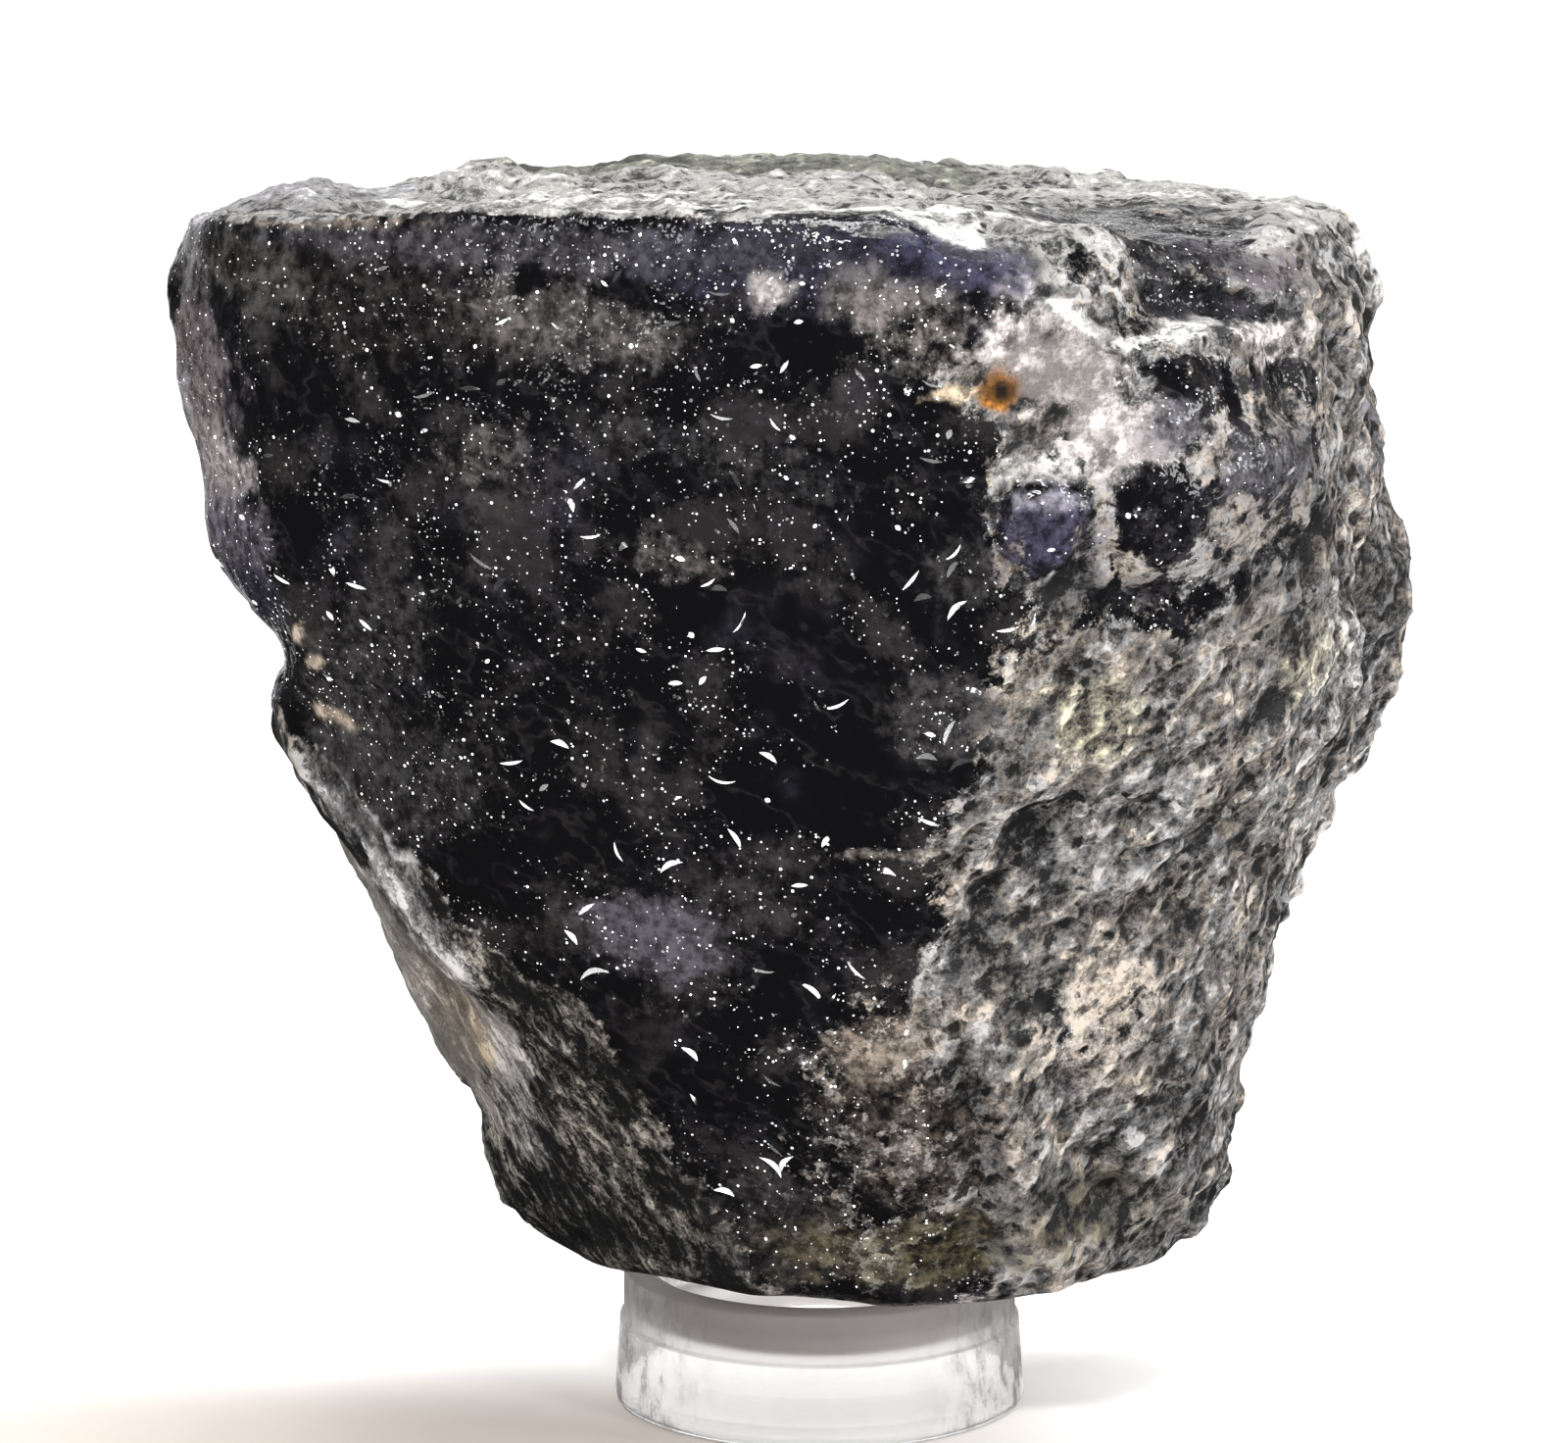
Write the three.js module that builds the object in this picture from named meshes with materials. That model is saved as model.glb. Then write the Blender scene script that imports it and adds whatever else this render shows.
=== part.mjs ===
// A rough iolite crystal standing on its foot on a small round display stand.
// Millimetres, +Z up. The origin is the centre of the stand's underside; the glossy
// dark face of the stone looks towards -Y and +X is on the right of that face.
import * as THREE from 'three';
import { ImprovedNoise } from 'three/addons/math/ImprovedNoise.js';
import { mergeVertices } from 'three/addons/utils/BufferGeometryUtils.js';

// Display stand: a one inch disc of clear acrylic with a stepped collar and a shallow dish.
const STAND_RADIUS = 12.7;
const STAND_HEIGHT = 8.4;
const STEP_HEIGHT = 5.3;
const STEP_DEPTH = 0.25;
const WALL_TAPER = 0.3;
const COLLAR_WALL = 1.8;
const DISH_FLOOR = 5.6;
const STAND_BEVEL = 0.3;
const STAND_SEGMENTS = 44;

// Seat of the stone on the stand: the flat ring that meets the collar, and the belly inside it.
const SEAT_GAP = 0.3;
const BELLY_DEPTH = 1.2;
const BELLY_INNER = 4;
const BELLY_OUTER = 8.6;

// Mesh of the stone: rows from the top rim to the foot. The top and the foot are closed by
// straight lines of points from front to back, which start CAP_TURN columns past the left edge.
const SIDE_ROWS = 37;
const TOP_STEPS = 19;
const FOOT_STEPS = 9;
const CAP_TURN = 3;
// How far in from the rim the top takes to reach its own height, and the same for the foot.
const TOP_RIM_WIDTH = 5;
const FOOT_RIM_WIDTH = 9;
// How much the faces bulge between two edges: 0 is flat, 1 is fully rounded.
const FACE_ROUNDING = 0.35;

// The upright edges of the stone, in order round it: each line runs from the top rim down to
// the foot. columns is the number of mesh columns from that edge to the next one, and grain is
// how coarse the broken surface is there, in millimetres.
const EDGES = [
  {
    name: 'left edge', columns: 5, grain: 0.25,
    line: [
      [-39.2, 1, 71.4], [-39.9, 0, 69.6], [-38.9, -1, 63.7], [-37.5, -1, 58.6],
      [-37.4, -2, 54.5], [-36, -2, 51.8], [-33.3, -3, 49.4], [-32, -3, 47],
      [-32.7, -3, 44], [-31.7, -2, 40.6], [-30.4, -1, 36.7], [-26.9, 0, 29.4],
      [-24, 0, 22.6], [-21.6, 0, 18.9], [-20.4, 0, 14], [-18.6, 0, 11], [-15.8, 0, 9.3],
    ],
  },
  {
    name: 'front left ridge', columns: 7, grain: 0.2,
    line: [
      [-35, -8.5, 73.9], [-34, -11.5, 67], [-32.8, -12.5, 61], [-32.3, -12.5, 55],
      [-31, -11, 49.3], [-31.8, -7, 43.9], [-30, -8.5, 40.1], [-27.3, -10, 36.3],
      [-24, -11, 31.7], [-19.9, -12, 28.6], [-17.6, -10.5, 23.8], [-15.3, -9, 17.4],
      [-12.8, -7, 10],
    ],
  },
  {
    name: 'front left', columns: 6, grain: 0.2,
    line: [
      [-23.2, -17.5, 76.5], [-22.7, -18.7, 65.8], [-22.2, -18.5, 54.2], [-21.2, -17, 42.2],
      [-19, -16.5, 36.1], [-16, -15.5, 29.7], [-13.5, -13.5, 22.7], [-11, -11.5, 16.8],
      [-9.1, -9.6, 10.1],
    ],
  },
  {
    name: 'front middle', columns: 7, grain: 0.2,
    line: [
      [-11.4, -22, 76.9], [-12.3, -23, 66.6], [-11.2, -22.5, 55.1], [-10.8, -20.8, 43.1],
      [-9.8, -19, 33.3], [-8, -17, 24.3], [-6, -14, 17.5], [-4.4, -11.8, 9.5],
    ],
  },
  {
    name: 'front right', columns: 7, grain: 0.22,
    line: [
      [1.1, -25, 76.4], [1.7, -26.5, 67.1], [1.7, -26, 55.6], [0.6, -23.8, 43.6],
      [0.7, -20.5, 31.2], [2.5, -16.5, 18], [3.7, -12.7, 9],
    ],
  },
  {
    name: 'main ridge', columns: 6, grain: 0.4,
    line: [
      [14, -24, 73], [16.6, -26.6, 66.9], [17.4, -27, 64.3], [15.1, -27.6, 59.7],
      [12, -27.6, 55.1], [9.8, -27.2, 51], [8.5, -26, 46.2], [7.2, -24.5, 40.7],
      [6.7, -22, 33.8], [8.8, -20.8, 29.3], [10.3, -19.4, 24.2], [11.3, -16.4, 18],
      [10.8, -12.6, 9],
    ],
  },
  {
    name: 'right face', columns: 5, grain: 0.6,
    line: [
      [22.4, -17.6, 72.2], [23, -15, 70.6], [22.8, -19.6, 69.3], [24.2, -22.4, 65],
      [25, -22, 59.2], [23.5, -21.4, 51.6], [21.4, -19.4, 43.7], [19.2, -17.4, 36.2],
      [18.2, -15.4, 28.6], [18.5, -12.4, 20], [17.6, -9.6, 10.9],
    ],
  },
  {
    name: 'block corner', columns: 9, grain: 0.6,
    line: [
      [28.4, -12.6, 71], [28.8, -15.2, 65], [29.6, -14.4, 60.2], [29.8, -13.6, 55.5],
      [28.9, -12.6, 47.1], [26.7, -12, 39.9], [25, -11, 33.1], [23.7, -10, 25.6],
      [22.7, -8, 17.8], [20.8, -5, 10.9],
    ],
  },
  {
    name: 'right edge', columns: 6, grain: 0.55,
    line: [
      [31.4, 6, 72.9], [33.4, 6, 68.1], [34.1, 6, 60.2], [35, 6, 55.6], [36.2, 6, 51.5],
      [36, 6, 48], [34.9, 5, 43.6], [32.9, 5, 39.6], [31.9, 5, 38], [30.9, 5, 36.9],
      [30.2, 5, 33.3], [28.4, 5, 26.7], [26.6, 5, 22.3], [25.8, 5, 17], [25.2, 4, 12.2],
      [23.4, 3, 10.5],
    ],
  },
  {
    name: 'back right', columns: 8, grain: 0.65,
    line: [
      [27.2, 15, 73], [29.5, 17, 65], [30.5, 17.5, 55], [28.5, 16.5, 44], [25.5, 14.5, 33],
      [22.5, 12, 22], [20, 10.5, 15], [17, 8.5, 9.8],
    ],
  },
  {
    name: 'back', columns: 9, grain: 0.65,
    line: [
      [7, 24.6, 73.9], [8.5, 25.6, 65], [7.5, 24.8, 55], [8, 22, 44], [5, 20.5, 33],
      [4.5, 15.5, 22], [3.5, 12.5, 14], [3, 11, 9.4],
    ],
  },
  {
    name: 'back left', columns: 7, grain: 0.6,
    line: [
      [-21.9, 17.6, 73.2], [-23.5, 19.4, 65], [-24.5, 19, 55], [-22, 17, 44], [-17.5, 15.5, 33],
      [-14.5, 12, 22], [-11.5, 10, 14], [-9, 8.6, 9.6],
    ],
  },
  {
    name: 'left back', columns: 4, grain: 0.45,
    line: [
      [-34.2, 7, 72.8], [-35.6, 7.6, 66], [-35, 7.5, 58], [-32, 7, 50], [-29.5, 7, 41],
      [-25, 6.5, 31], [-19.5, 6, 20], [-14.5, 5.2, 9.8],
    ],
  },
];

// Relief on the sides, placed by x and z on the front (-Y) or the back (+Y).
// height above zero is a ridge or a lump, and below zero a gully or a pit.
const SIDE_RELIEF = [
  { name: 'diagonal ridge', side: -1, width: 1.5, height: 0.9,
    path: [[6.3, 39.5], [9.2, 42.5], [12.6, 44.2], [18.9, 46.4]] },
  { name: 'gully below it', side: -1, width: 1.5, height: -1.1,
    path: [[5.9, 31.2], [7, 34.9], [8.6, 38.1], [11.5, 40.8]] },
  { name: 'violet lump', side: -1, width: 2.6, height: 1, path: [[12.6, 60]] },
  { name: 'dark lump', side: -1, width: 3, height: 1.2, path: [[19.4, 58.6]] },
  { name: 'upper lump', side: -1, width: 2.4, height: 0.8, path: [[20.3, 64]] },
  { name: 'cleft between the lumps', side: -1, width: 1.1, height: -1.2,
    path: [[16.2, 62], [16.3, 58.5], [17.6, 54.5]] },
  { name: 'wet ledge', side: -1, width: 1.8, height: 0.9, path: [[19.4, 68.8], [25.4, 68.2]] },
  { name: 'left lip', side: -1, width: 1.3, height: 0.9,
    path: [[-32.5, 43], [-30, 40.1], [-27.3, 36.3], [-24, 31.7], [-19.9, 28.9]] },
  { name: 'left gully', side: -1, width: 1.5, height: -0.8,
    path: [[-29.4, 36.6], [-25.8, 32], [-21.8, 26.5]] },
  { name: 'lower bulge', side: -1, width: 4.5, height: 0.9, path: [[4.5, 23.5], [5.4, 18.5]] },
  { name: 'crease', side: -1, width: 1, height: -0.5, path: [[0.1, 38.4], [2.9, 38.7], [6.3, 38.4]] },
  { name: 'lower ridge', side: -1, width: 1.3, height: 0.8,
    path: [[10.5, 26], [11.8, 20.7], [13.1, 14.5], [13.5, 10.9]] },
  { name: 'hollow right of it', side: -1, width: 2.2, height: -0.8, path: [[15.6, 22], [16.6, 15]] },
  { name: 'grey shelf', side: -1, width: 1.4, height: 0.7,
    path: [[24.5, 61.5], [21.5, 56], [18.2, 50]] },
  { name: 'dark band', side: -1, width: 2.2, height: -0.8, path: [[25, 51], [31, 52.5]] },
  { name: 'back rib', side: 1, width: 2, height: 1.4,
    path: [[-13, 68], [-6, 57], [-4, 44], [-7, 30]] },
  { name: 'back gully', side: 1, width: 2.6, height: -1.6,
    path: [[14, 66], [16, 52], [12, 38], [9, 24]] },
  { name: 'back ledge', side: 1, width: 2, height: 1.3, path: [[-19, 45], [-9, 49], [3, 47]] },
  { name: 'hollow over the ledge', side: 1, width: 3, height: -1.3, path: [[-16, 56], [-10, 60]] },
  { name: 'back lump', side: 1, width: 3.6, height: 1.4, path: [[22, 38], [24, 44]] },
  { name: 'low back gully', side: 1, width: 2, height: -1, path: [[-16, 36], [-12, 27], [-3, 20]] },
  { name: 'low back rib', side: 1, width: 1.8, height: 1, path: [[16, 30], [12, 20], [7, 14]] },
];

// Relief on the top, placed by x and y: the valley behind the front rim, swells and wet pits.
const TOP_RELIEF = [
  { name: 'front valley', width: 4, height: -0.8, path: [[-26, -11], [-8, -16], [-1, -18]] },
  { name: 'back swell', width: 4.5, height: 1, path: [[-19, 12], [-6, 16], [12, 16]] },
  { name: 'middle swell', width: 4, height: 0.5, path: [[-14, 2], [0, 4]] },
  { name: 'left knob', width: 2.4, height: 0.7, path: [[-32.5, 2]] },
  { name: 'pool by the rim', width: 2.4, height: -1, path: [[13, -13], [15.5, -11]] },
  { name: 'right pool', width: 2.4, height: -0.9, path: [[21, -9]] },
  { name: 'right swell', width: 3.5, height: 0.8, path: [[27, 4], [24, 11]] },
  { name: 'cross gully', width: 2, height: -0.8, path: [[4, -8], [9, 2], [8, 12]] },
];

// The top dips towards the back, to the left end and to the right of the main ridge.
const TOP_HEIGHT = 75.3;
const TOP_SLOPE_BACK = 0.06;
const TOP_LEFT_START = -12;
const TOP_LEFT_SLOPE = 0.055;
const TOP_RIGHT_START = 3;
const TOP_RIGHT_SLOPE = 0.075;
const TOP_GRAIN = 0.4;

// Two scales of broken surface: lumps a few millimetres wide, and the chips on them.
const LUMP_SIZE = 6.5;
const CHIP_SIZE = 2.8;
const CHIP_SHARE = 0.55;
const NOISE_SHIFT = 17.3;
// The stone splits along layers that climb to the right, so its grain is stretched that way.
const LAYER_DIRECTION = new THREE.Vector3(0.6, 0, 0.8);
const LAYER_STRETCH = 2;

const CRYSTAL_COLOUR = 0x2b2934;
const ACRYLIC_COLOUR = 0xe9ecee;

const noise = new ImprovedNoise();

function smoothstep(low, high, value) {
  return THREE.MathUtils.smoothstep(value, low, high);
}

// Distance from a point to a line through the given points, all in one plane.
function distanceToPath(u, v, path) {
  let nearest = Math.hypot(u - path[0][0], v - path[0][1]);
  for (let i = 1; i < path.length; i += 1) {
    const [u0, v0] = path[i - 1];
    const du = path[i][0] - u0;
    const dv = path[i][1] - v0;
    const along = ((u - u0) * du + (v - v0) * dv) / (du * du + dv * dv);
    const held = THREE.MathUtils.clamp(along, 0, 1);
    nearest = Math.min(nearest, Math.hypot(u - u0 - held * du, v - v0 - held * dv));
  }
  return nearest;
}

// The height of one ridge, gully, lump or pit at a point, fading out over its width.
function reliefAt(u, v, feature) {
  const t = distanceToPath(u, v, feature.path) / feature.width;
  return feature.height * Math.exp(-t * t);
}

function sumRelief(u, v, features) {
  return features.reduce((sum, feature) => sum + reliefAt(u, v, feature), 0);
}

function alongLayers(point) {
  const along = point.dot(LAYER_DIRECTION);
  return point.clone().addScaledVector(LAYER_DIRECTION, along / LAYER_STRETCH - along);
}

// Ridged noise: sharp crests with rounded hollows between them, from -1 to 1.
function ridged(point, size) {
  const value = noise.noise(point.x / size, point.y / size, point.z / size);
  return 1 - 3 * Math.abs(value);
}

function brokenSurface(point) {
  const layered = alongLayers(point);
  const lumps = ridged(layered, LUMP_SIZE);
  return lumps + CHIP_SHARE * ridged(layered.addScalar(NOISE_SHIFT), CHIP_SIZE);
}

// Point between stations b and c of a row, part flat face and part rounded through a and d.
function betweenEdges(a, b, c, d, share) {
  const flat = b.clone().lerp(c, share);
  const square = share * share;
  const cube = square * share;
  const rounded = new THREE.Vector3();
  rounded.addScaledVector(a, -0.5 * cube + square - 0.5 * share);
  rounded.addScaledVector(b, 1.5 * cube - 2.5 * square + 1);
  rounded.addScaledVector(c, -1.5 * cube + 2 * square + 0.5 * share);
  rounded.addScaledVector(d, 0.5 * cube - 0.5 * square);
  return flat.lerp(rounded, FACE_ROUNDING);
}

// One closed row of points round the stone. share is 0 at the top rim and 1 at the foot.
function sideRow(curves, share) {
  const stations = curves.map((curve) => curve.getPointAt(share));
  const count = stations.length;
  const row = [];
  EDGES.forEach((edge, i) => {
    const a = stations[(i + count - 1) % count];
    const b = stations[i];
    const c = stations[(i + 1) % count];
    const d = stations[(i + 2) % count];
    for (let k = 0; k < edge.columns; k += 1) {
      row.push(betweenEdges(a, b, c, d, k / edge.columns));
    }
  });
  return row;
}

// The grain of the surface along one row, blended from each edge to the next.
function grainRow() {
  const grains = [];
  EDGES.forEach((edge, i) => {
    const next = EDGES[(i + 1) % EDGES.length];
    for (let k = 0; k < edge.columns; k += 1) {
      grains.push(THREE.MathUtils.lerp(edge.grain, next.grain, k / edge.columns));
    }
  });
  return grains;
}

function topHeight(x, y) {
  const right = TOP_RIGHT_SLOPE * Math.max(0, x - TOP_RIGHT_START);
  const left = TOP_LEFT_SLOPE * Math.max(0, TOP_LEFT_START - x);
  return TOP_HEIGHT - TOP_SLOPE_BACK * y - right - left + sumRelief(x, y, TOP_RELIEF);
}

// The underside: flat where it meets the collar, with a belly inside it.
function footHeight(x, y) {
  const radius = Math.hypot(x, y);
  const belly = BELLY_DEPTH * (1 - smoothstep(BELLY_INNER, BELLY_OUTER, radius));
  return STAND_HEIGHT + SEAT_GAP - belly;
}

// Inner points of a cap: lines across it between two points of its rim. A line keeps the rim's
// own height at both ends and eases to the cap's height over rimWidth.
function capPoints(rim, steps, heightAt, rimWidth) {
  const points = [];
  const ease = (edge, distance) => {
    const fade = Math.max(0, 1 - distance / rimWidth) ** 2;
    return fade * (edge.z - heightAt(edge.x, edge.y));
  };
  for (let line = 1; line < rim.length / 2; line += 1) {
    const start = rim[capEnd(rim.length, line)];
    const end = rim[capEnd(rim.length, -line)];
    for (let step = 1; step < steps; step += 1) {
      const point = start.clone().lerp(end, step / steps);
      const lift = ease(start, point.distanceTo(start)) + ease(end, point.distanceTo(end));
      point.z = heightAt(point.x, point.y) + lift;
      points.push(point);
    }
  }
  return points;
}

function capEnd(columns, line) {
  return (CAP_TURN + line + columns) % columns;
}

// Triangles of a cap. Its first and last lines are single points of the rim.
function capIndices(columns, steps, firstRim, firstInner, facesUp) {
  const indices = [];
  const lastLine = columns / 2;
  const at = (line, step) => {
    if (line === 0 || line === lastLine || step === 0) {
      return firstRim + capEnd(columns, line);
    }
    if (step === steps) {
      return firstRim + capEnd(columns, -line);
    }
    return firstInner + (line - 1) * (steps - 1) + step - 1;
  };
  const add = (a, b, c) => {
    if (a !== b && b !== c && c !== a) {
      indices.push(...(facesUp ? [a, b, c] : [a, c, b]));
    }
  };
  for (let line = 0; line < lastLine; line += 1) {
    for (let step = 0; step < steps; step += 1) {
      add(at(line, step), at(line + 1, step), at(line + 1, step + 1));
      add(at(line, step), at(line + 1, step + 1), at(line, step + 1));
    }
  }
  return indices;
}

function sideIndices(rows, columns) {
  const indices = [];
  const at = (row, column) => row * columns + (column % columns);
  for (let row = 0; row < rows; row += 1) {
    for (let column = 0; column < columns; column += 1) {
      indices.push(at(row, column), at(row + 1, column), at(row + 1, column + 1));
      indices.push(at(row, column), at(row + 1, column + 1), at(row, column + 1));
    }
  }
  return indices;
}

function surface(points, indices) {
  const geometry = new THREE.BufferGeometry().setFromPoints(points);
  geometry.setIndex(indices);
  geometry.computeVertexNormals();
  return geometry;
}

// A point of the side, moved along its normal by the grain and by the relief there.
function carveSide(point, normal, grain) {
  const relief = SIDE_RELIEF.filter((feature) => feature.side * point.y > 0);
  const depth = grain * brokenSurface(point) + sumRelief(point.x, point.z, relief);
  return point.clone().addScaledVector(normal, depth);
}

function carveTop(point) {
  const carved = point.clone();
  carved.z += TOP_GRAIN * brokenSurface(point);
  return carved;
}

// The foot is worn flat, so that nothing reaches below the seat on the collar.
function wearFoot(point) {
  const radius = Math.hypot(point.x, point.y);
  const worn = point.clone();
  if (radius > BELLY_OUTER) {
    worn.z = Math.max(worn.z, STAND_HEIGHT + SEAT_GAP);
  }
  return worn;
}

function crystalGeometry() {
  const curves = EDGES.map(({ line }) => new THREE.CatmullRomCurve3(
    line.map(([x, y, z]) => new THREE.Vector3(x, y, z)), false, 'centripetal',
  ));
  const rows = [];
  for (let row = 0; row <= SIDE_ROWS; row += 1) {
    rows.push(sideRow(curves, row / SIDE_ROWS));
  }
  const columns = rows[0].length;
  const top = capPoints(rows[0], TOP_STEPS, topHeight, TOP_RIM_WIDTH);
  const foot = capPoints(rows[SIDE_ROWS], FOOT_STEPS, footHeight, FOOT_RIM_WIDTH);
  const sides = rows.flat();
  const points = [...sides, ...top, ...foot];
  const firstTop = sides.length;
  const firstFoot = firstTop + top.length;
  const indices = [
    ...sideIndices(SIDE_ROWS, columns),
    ...capIndices(columns, TOP_STEPS, 0, firstTop, true),
    ...capIndices(columns, FOOT_STEPS, SIDE_ROWS * columns, firstFoot, false),
  ];
  const normals = surface(points, indices).attributes.normal;
  const grains = grainRow();
  const carved = points.map((point, i) => {
    if (i < firstTop) {
      const normal = new THREE.Vector3().fromBufferAttribute(normals, i);
      return wearFoot(carveSide(point, normal, grains[i % columns]));
    }
    return i < firstFoot ? carveTop(point) : wearFoot(point);
  });
  return surface(carved, indices);
}

// Outline of the stand from its underside round to the dish, turned about the upright axis.
function standGeometry() {
  const foot = STAND_RADIUS;
  const shoulder = STAND_RADIUS - WALL_TAPER;
  const collar = shoulder - STEP_DEPTH;
  const dish = collar - COLLAR_WALL;
  const outline = [
    [0, 0],
    [foot - STAND_BEVEL, 0],
    [foot, STAND_BEVEL],
    [shoulder, STEP_HEIGHT - STEP_DEPTH],
    [collar, STEP_HEIGHT],
    [collar, STAND_HEIGHT - STAND_BEVEL],
    [collar - STAND_BEVEL, STAND_HEIGHT],
    [dish + STAND_BEVEL, STAND_HEIGHT],
    [dish, STAND_HEIGHT - STAND_BEVEL],
    [dish, DISH_FLOOR + STAND_BEVEL],
    [dish - STAND_BEVEL, DISH_FLOOR],
    [0, DISH_FLOOR],
  ];
  const profile = outline.map(([r, z]) => new THREE.Vector2(r, z));
  const turned = new THREE.LatheGeometry(profile, STAND_SEGMENTS).rotateX(Math.PI / 2);
  turned.deleteAttribute('uv');
  turned.deleteAttribute('normal');
  return mergeVertices(turned);
}

function crystal() {
  const material = new THREE.MeshStandardMaterial({
    color: CRYSTAL_COLOUR, roughness: 0.3, metalness: 0, flatShading: true,
  });
  const mesh = new THREE.Mesh(crystalGeometry(), material);
  mesh.name = 'iolite_crystal';
  return mesh;
}

function stand() {
  const material = new THREE.MeshStandardMaterial({
    color: ACRYLIC_COLOUR, roughness: 0.05, metalness: 0, transparent: true, opacity: 0.35,
  });
  const mesh = new THREE.Mesh(standGeometry(), material);
  mesh.name = 'display_stand';
  return mesh;
}

const group = new THREE.Group();
group.add(crystal(), stand());

export default group;
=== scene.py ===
import math
from collections import namedtuple

import bmesh
import bpy
import numpy as np
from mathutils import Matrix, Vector


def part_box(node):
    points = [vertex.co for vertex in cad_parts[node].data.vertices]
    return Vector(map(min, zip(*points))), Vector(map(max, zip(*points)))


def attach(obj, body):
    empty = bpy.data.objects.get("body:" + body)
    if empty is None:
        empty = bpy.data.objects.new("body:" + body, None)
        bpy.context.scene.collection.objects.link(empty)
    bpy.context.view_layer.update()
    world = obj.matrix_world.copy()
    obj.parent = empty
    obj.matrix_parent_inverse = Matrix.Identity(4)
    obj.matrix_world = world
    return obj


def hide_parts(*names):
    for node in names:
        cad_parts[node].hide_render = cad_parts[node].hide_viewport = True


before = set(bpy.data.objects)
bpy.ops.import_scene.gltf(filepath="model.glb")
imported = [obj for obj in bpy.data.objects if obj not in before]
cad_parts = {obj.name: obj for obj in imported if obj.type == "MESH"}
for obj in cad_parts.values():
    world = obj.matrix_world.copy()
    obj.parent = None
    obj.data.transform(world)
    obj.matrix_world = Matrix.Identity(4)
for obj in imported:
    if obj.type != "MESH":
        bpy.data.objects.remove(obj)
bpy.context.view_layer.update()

MM = 0.001
BODY = "root"

# Camera: it looks down by its pitch at its aim, and the lens gives the photograph's frame.
CAMERA_PITCH = math.radians(11)
CAMERA_DISTANCE = 450 * MM
CAMERA_AIM = Vector((-2.2, 0, 42.57)) * MM
CAMERA_LENS = 168.75
CAMERA_CLIP = 10 * MM
SENSOR_WIDTH = 36

# Soft lights, aimed at one point: place, width and height in millimetres, and power in watts.
LIGHT_AIM = (0, 0, 45)
LIGHTS = {
    "over the camera": ((-110, -370, 380), (110, 50), 1.5),
    "left": ((-330, -330, 220), (80, 80), 0.25),
    "right": ((330, -330, 230), (90, 90), 0.6),
    "fill right": ((400, -80, 160), (140, 140), 0.65),
    "top": ((0, 60, 420), (200, 200), 1.7),
}
# Strength of the world: dim around the stone, and full behind it.
DIM_WORLD = 0.05
FULL_WORLD = 1.0

# Table: half its width in metres, its linear colours, and how strongly its far parts glow.
TABLE_REACH = 3.0
TABLE_DARK = (0.76, 0.67, 0.60)
TABLE_LIGHT = (0.86, 0.785, 0.72)
TABLE_FAR = (0.95, 0.95, 0.95)
TABLE_GLOW = 0.8

# Stand: its outline in millimetres, as how far each point lies inside the edge of the foot, and
# its height. The points of the rim have their depth below the top instead.
STAND_SEGMENTS = 160
STAND_FOOT = [(0.5, 0), (0.2, 0.06), (0.05, 0.2), (0, 0.45)]
STAND_STEP = [(0.28, 5.0), (0.31, 5.14), (0.46, 5.22), (0.54, 5.32)]
STAND_RIM = [(0.56, 0.4), (0.64, 0.12), (0.85, 0), (2.05, 0), (2.25, 0.1), (2.34, 0.35)]
STAND_DISH = [(2.36, 5.45), (2.5, 5.25), (2.75, 5.15)]

# Acrylic of the stand: linear tints, and the heights and the half widths, in millimetres, over
# which its collar, frosting, rim and smears set in.
CLEAR = (1.0, 1.0, 1.0)
FROSTED_LOW = (0.82, 0.795, 0.80)
# The frosted collar greys upwards and the rim greys most: partly a frosted tint and partly painted
# shade under the stone.
FROSTED_SHADED_HIGH = (0.64, 0.62, 0.625)
RIM_SHADE = (0.42, 0.40, 0.41)
# Smear grey: partly dirt and partly painted dark edges at the left and right sides of the clear body.
SMEAR_AND_EDGE_GREY = (0.34, 0.32, 0.31)
COLLAR_HEIGHTS = (5.0, 5.14)
FROSTED_HEIGHTS = (6.4, 7.2)
RIM_HEIGHTS = (8.1, 8.3)
SMEARED_WIDTHS = (5, 10.5)
ACRYLIC_IOR = 1.49

# Fine mesh of the stone: the distance between its points, and the most that noise moves them, in
# millimetres. The relief sets in between the seat's heights, so that the foot keeps its seat.
VOXEL = 0.465
LARGEST_RELIEF = 1.1
SEAT_HEIGHTS = (9.3, 10.5)
MERGE_DISTANCE = 0.001
SMOOTHING_STEPS = 4
SMOOTHING_SHARE = 0.5

# Chips of the rough stone as (size, tilt, seed), and its pits: sizes and depths in millimetres.
CHIPS = [(3.2, 0.34, 23), (7, 0.14, 29)]
BACK_CHIPS = (13, 0.2, 31)
COARSE_PIT = 1.7
COARSE_PIT_DEPTH = 0.46
SMALL_PIT = 1.0
SMALL_PIT_DEPTH = 0.2

# Directions in the stone: its layers climb to the right, and the fibres at its lower left run down.
LAYERS = (0.62, 0.30, 0.72)
FIBRES = (0.42, -0.12, -0.90)
WISPS = (0.85, 0, -0.5)

# Wet film of the stone: its flakes and ripples lie this far apart, in millimetres, and face
# halfway between the camera and the main light.
FLAKE_SPACING = 0.23
RIPPLE_SPACING = 2.4
MIRROR_FACING = (-0.11, -0.89, 0.44)
WET_ROUGHNESS = 0.09
DRY_ROUGHNESS = 0.55
STONE_IOR = 1.54
STONE_SPECULAR = 0.3

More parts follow.
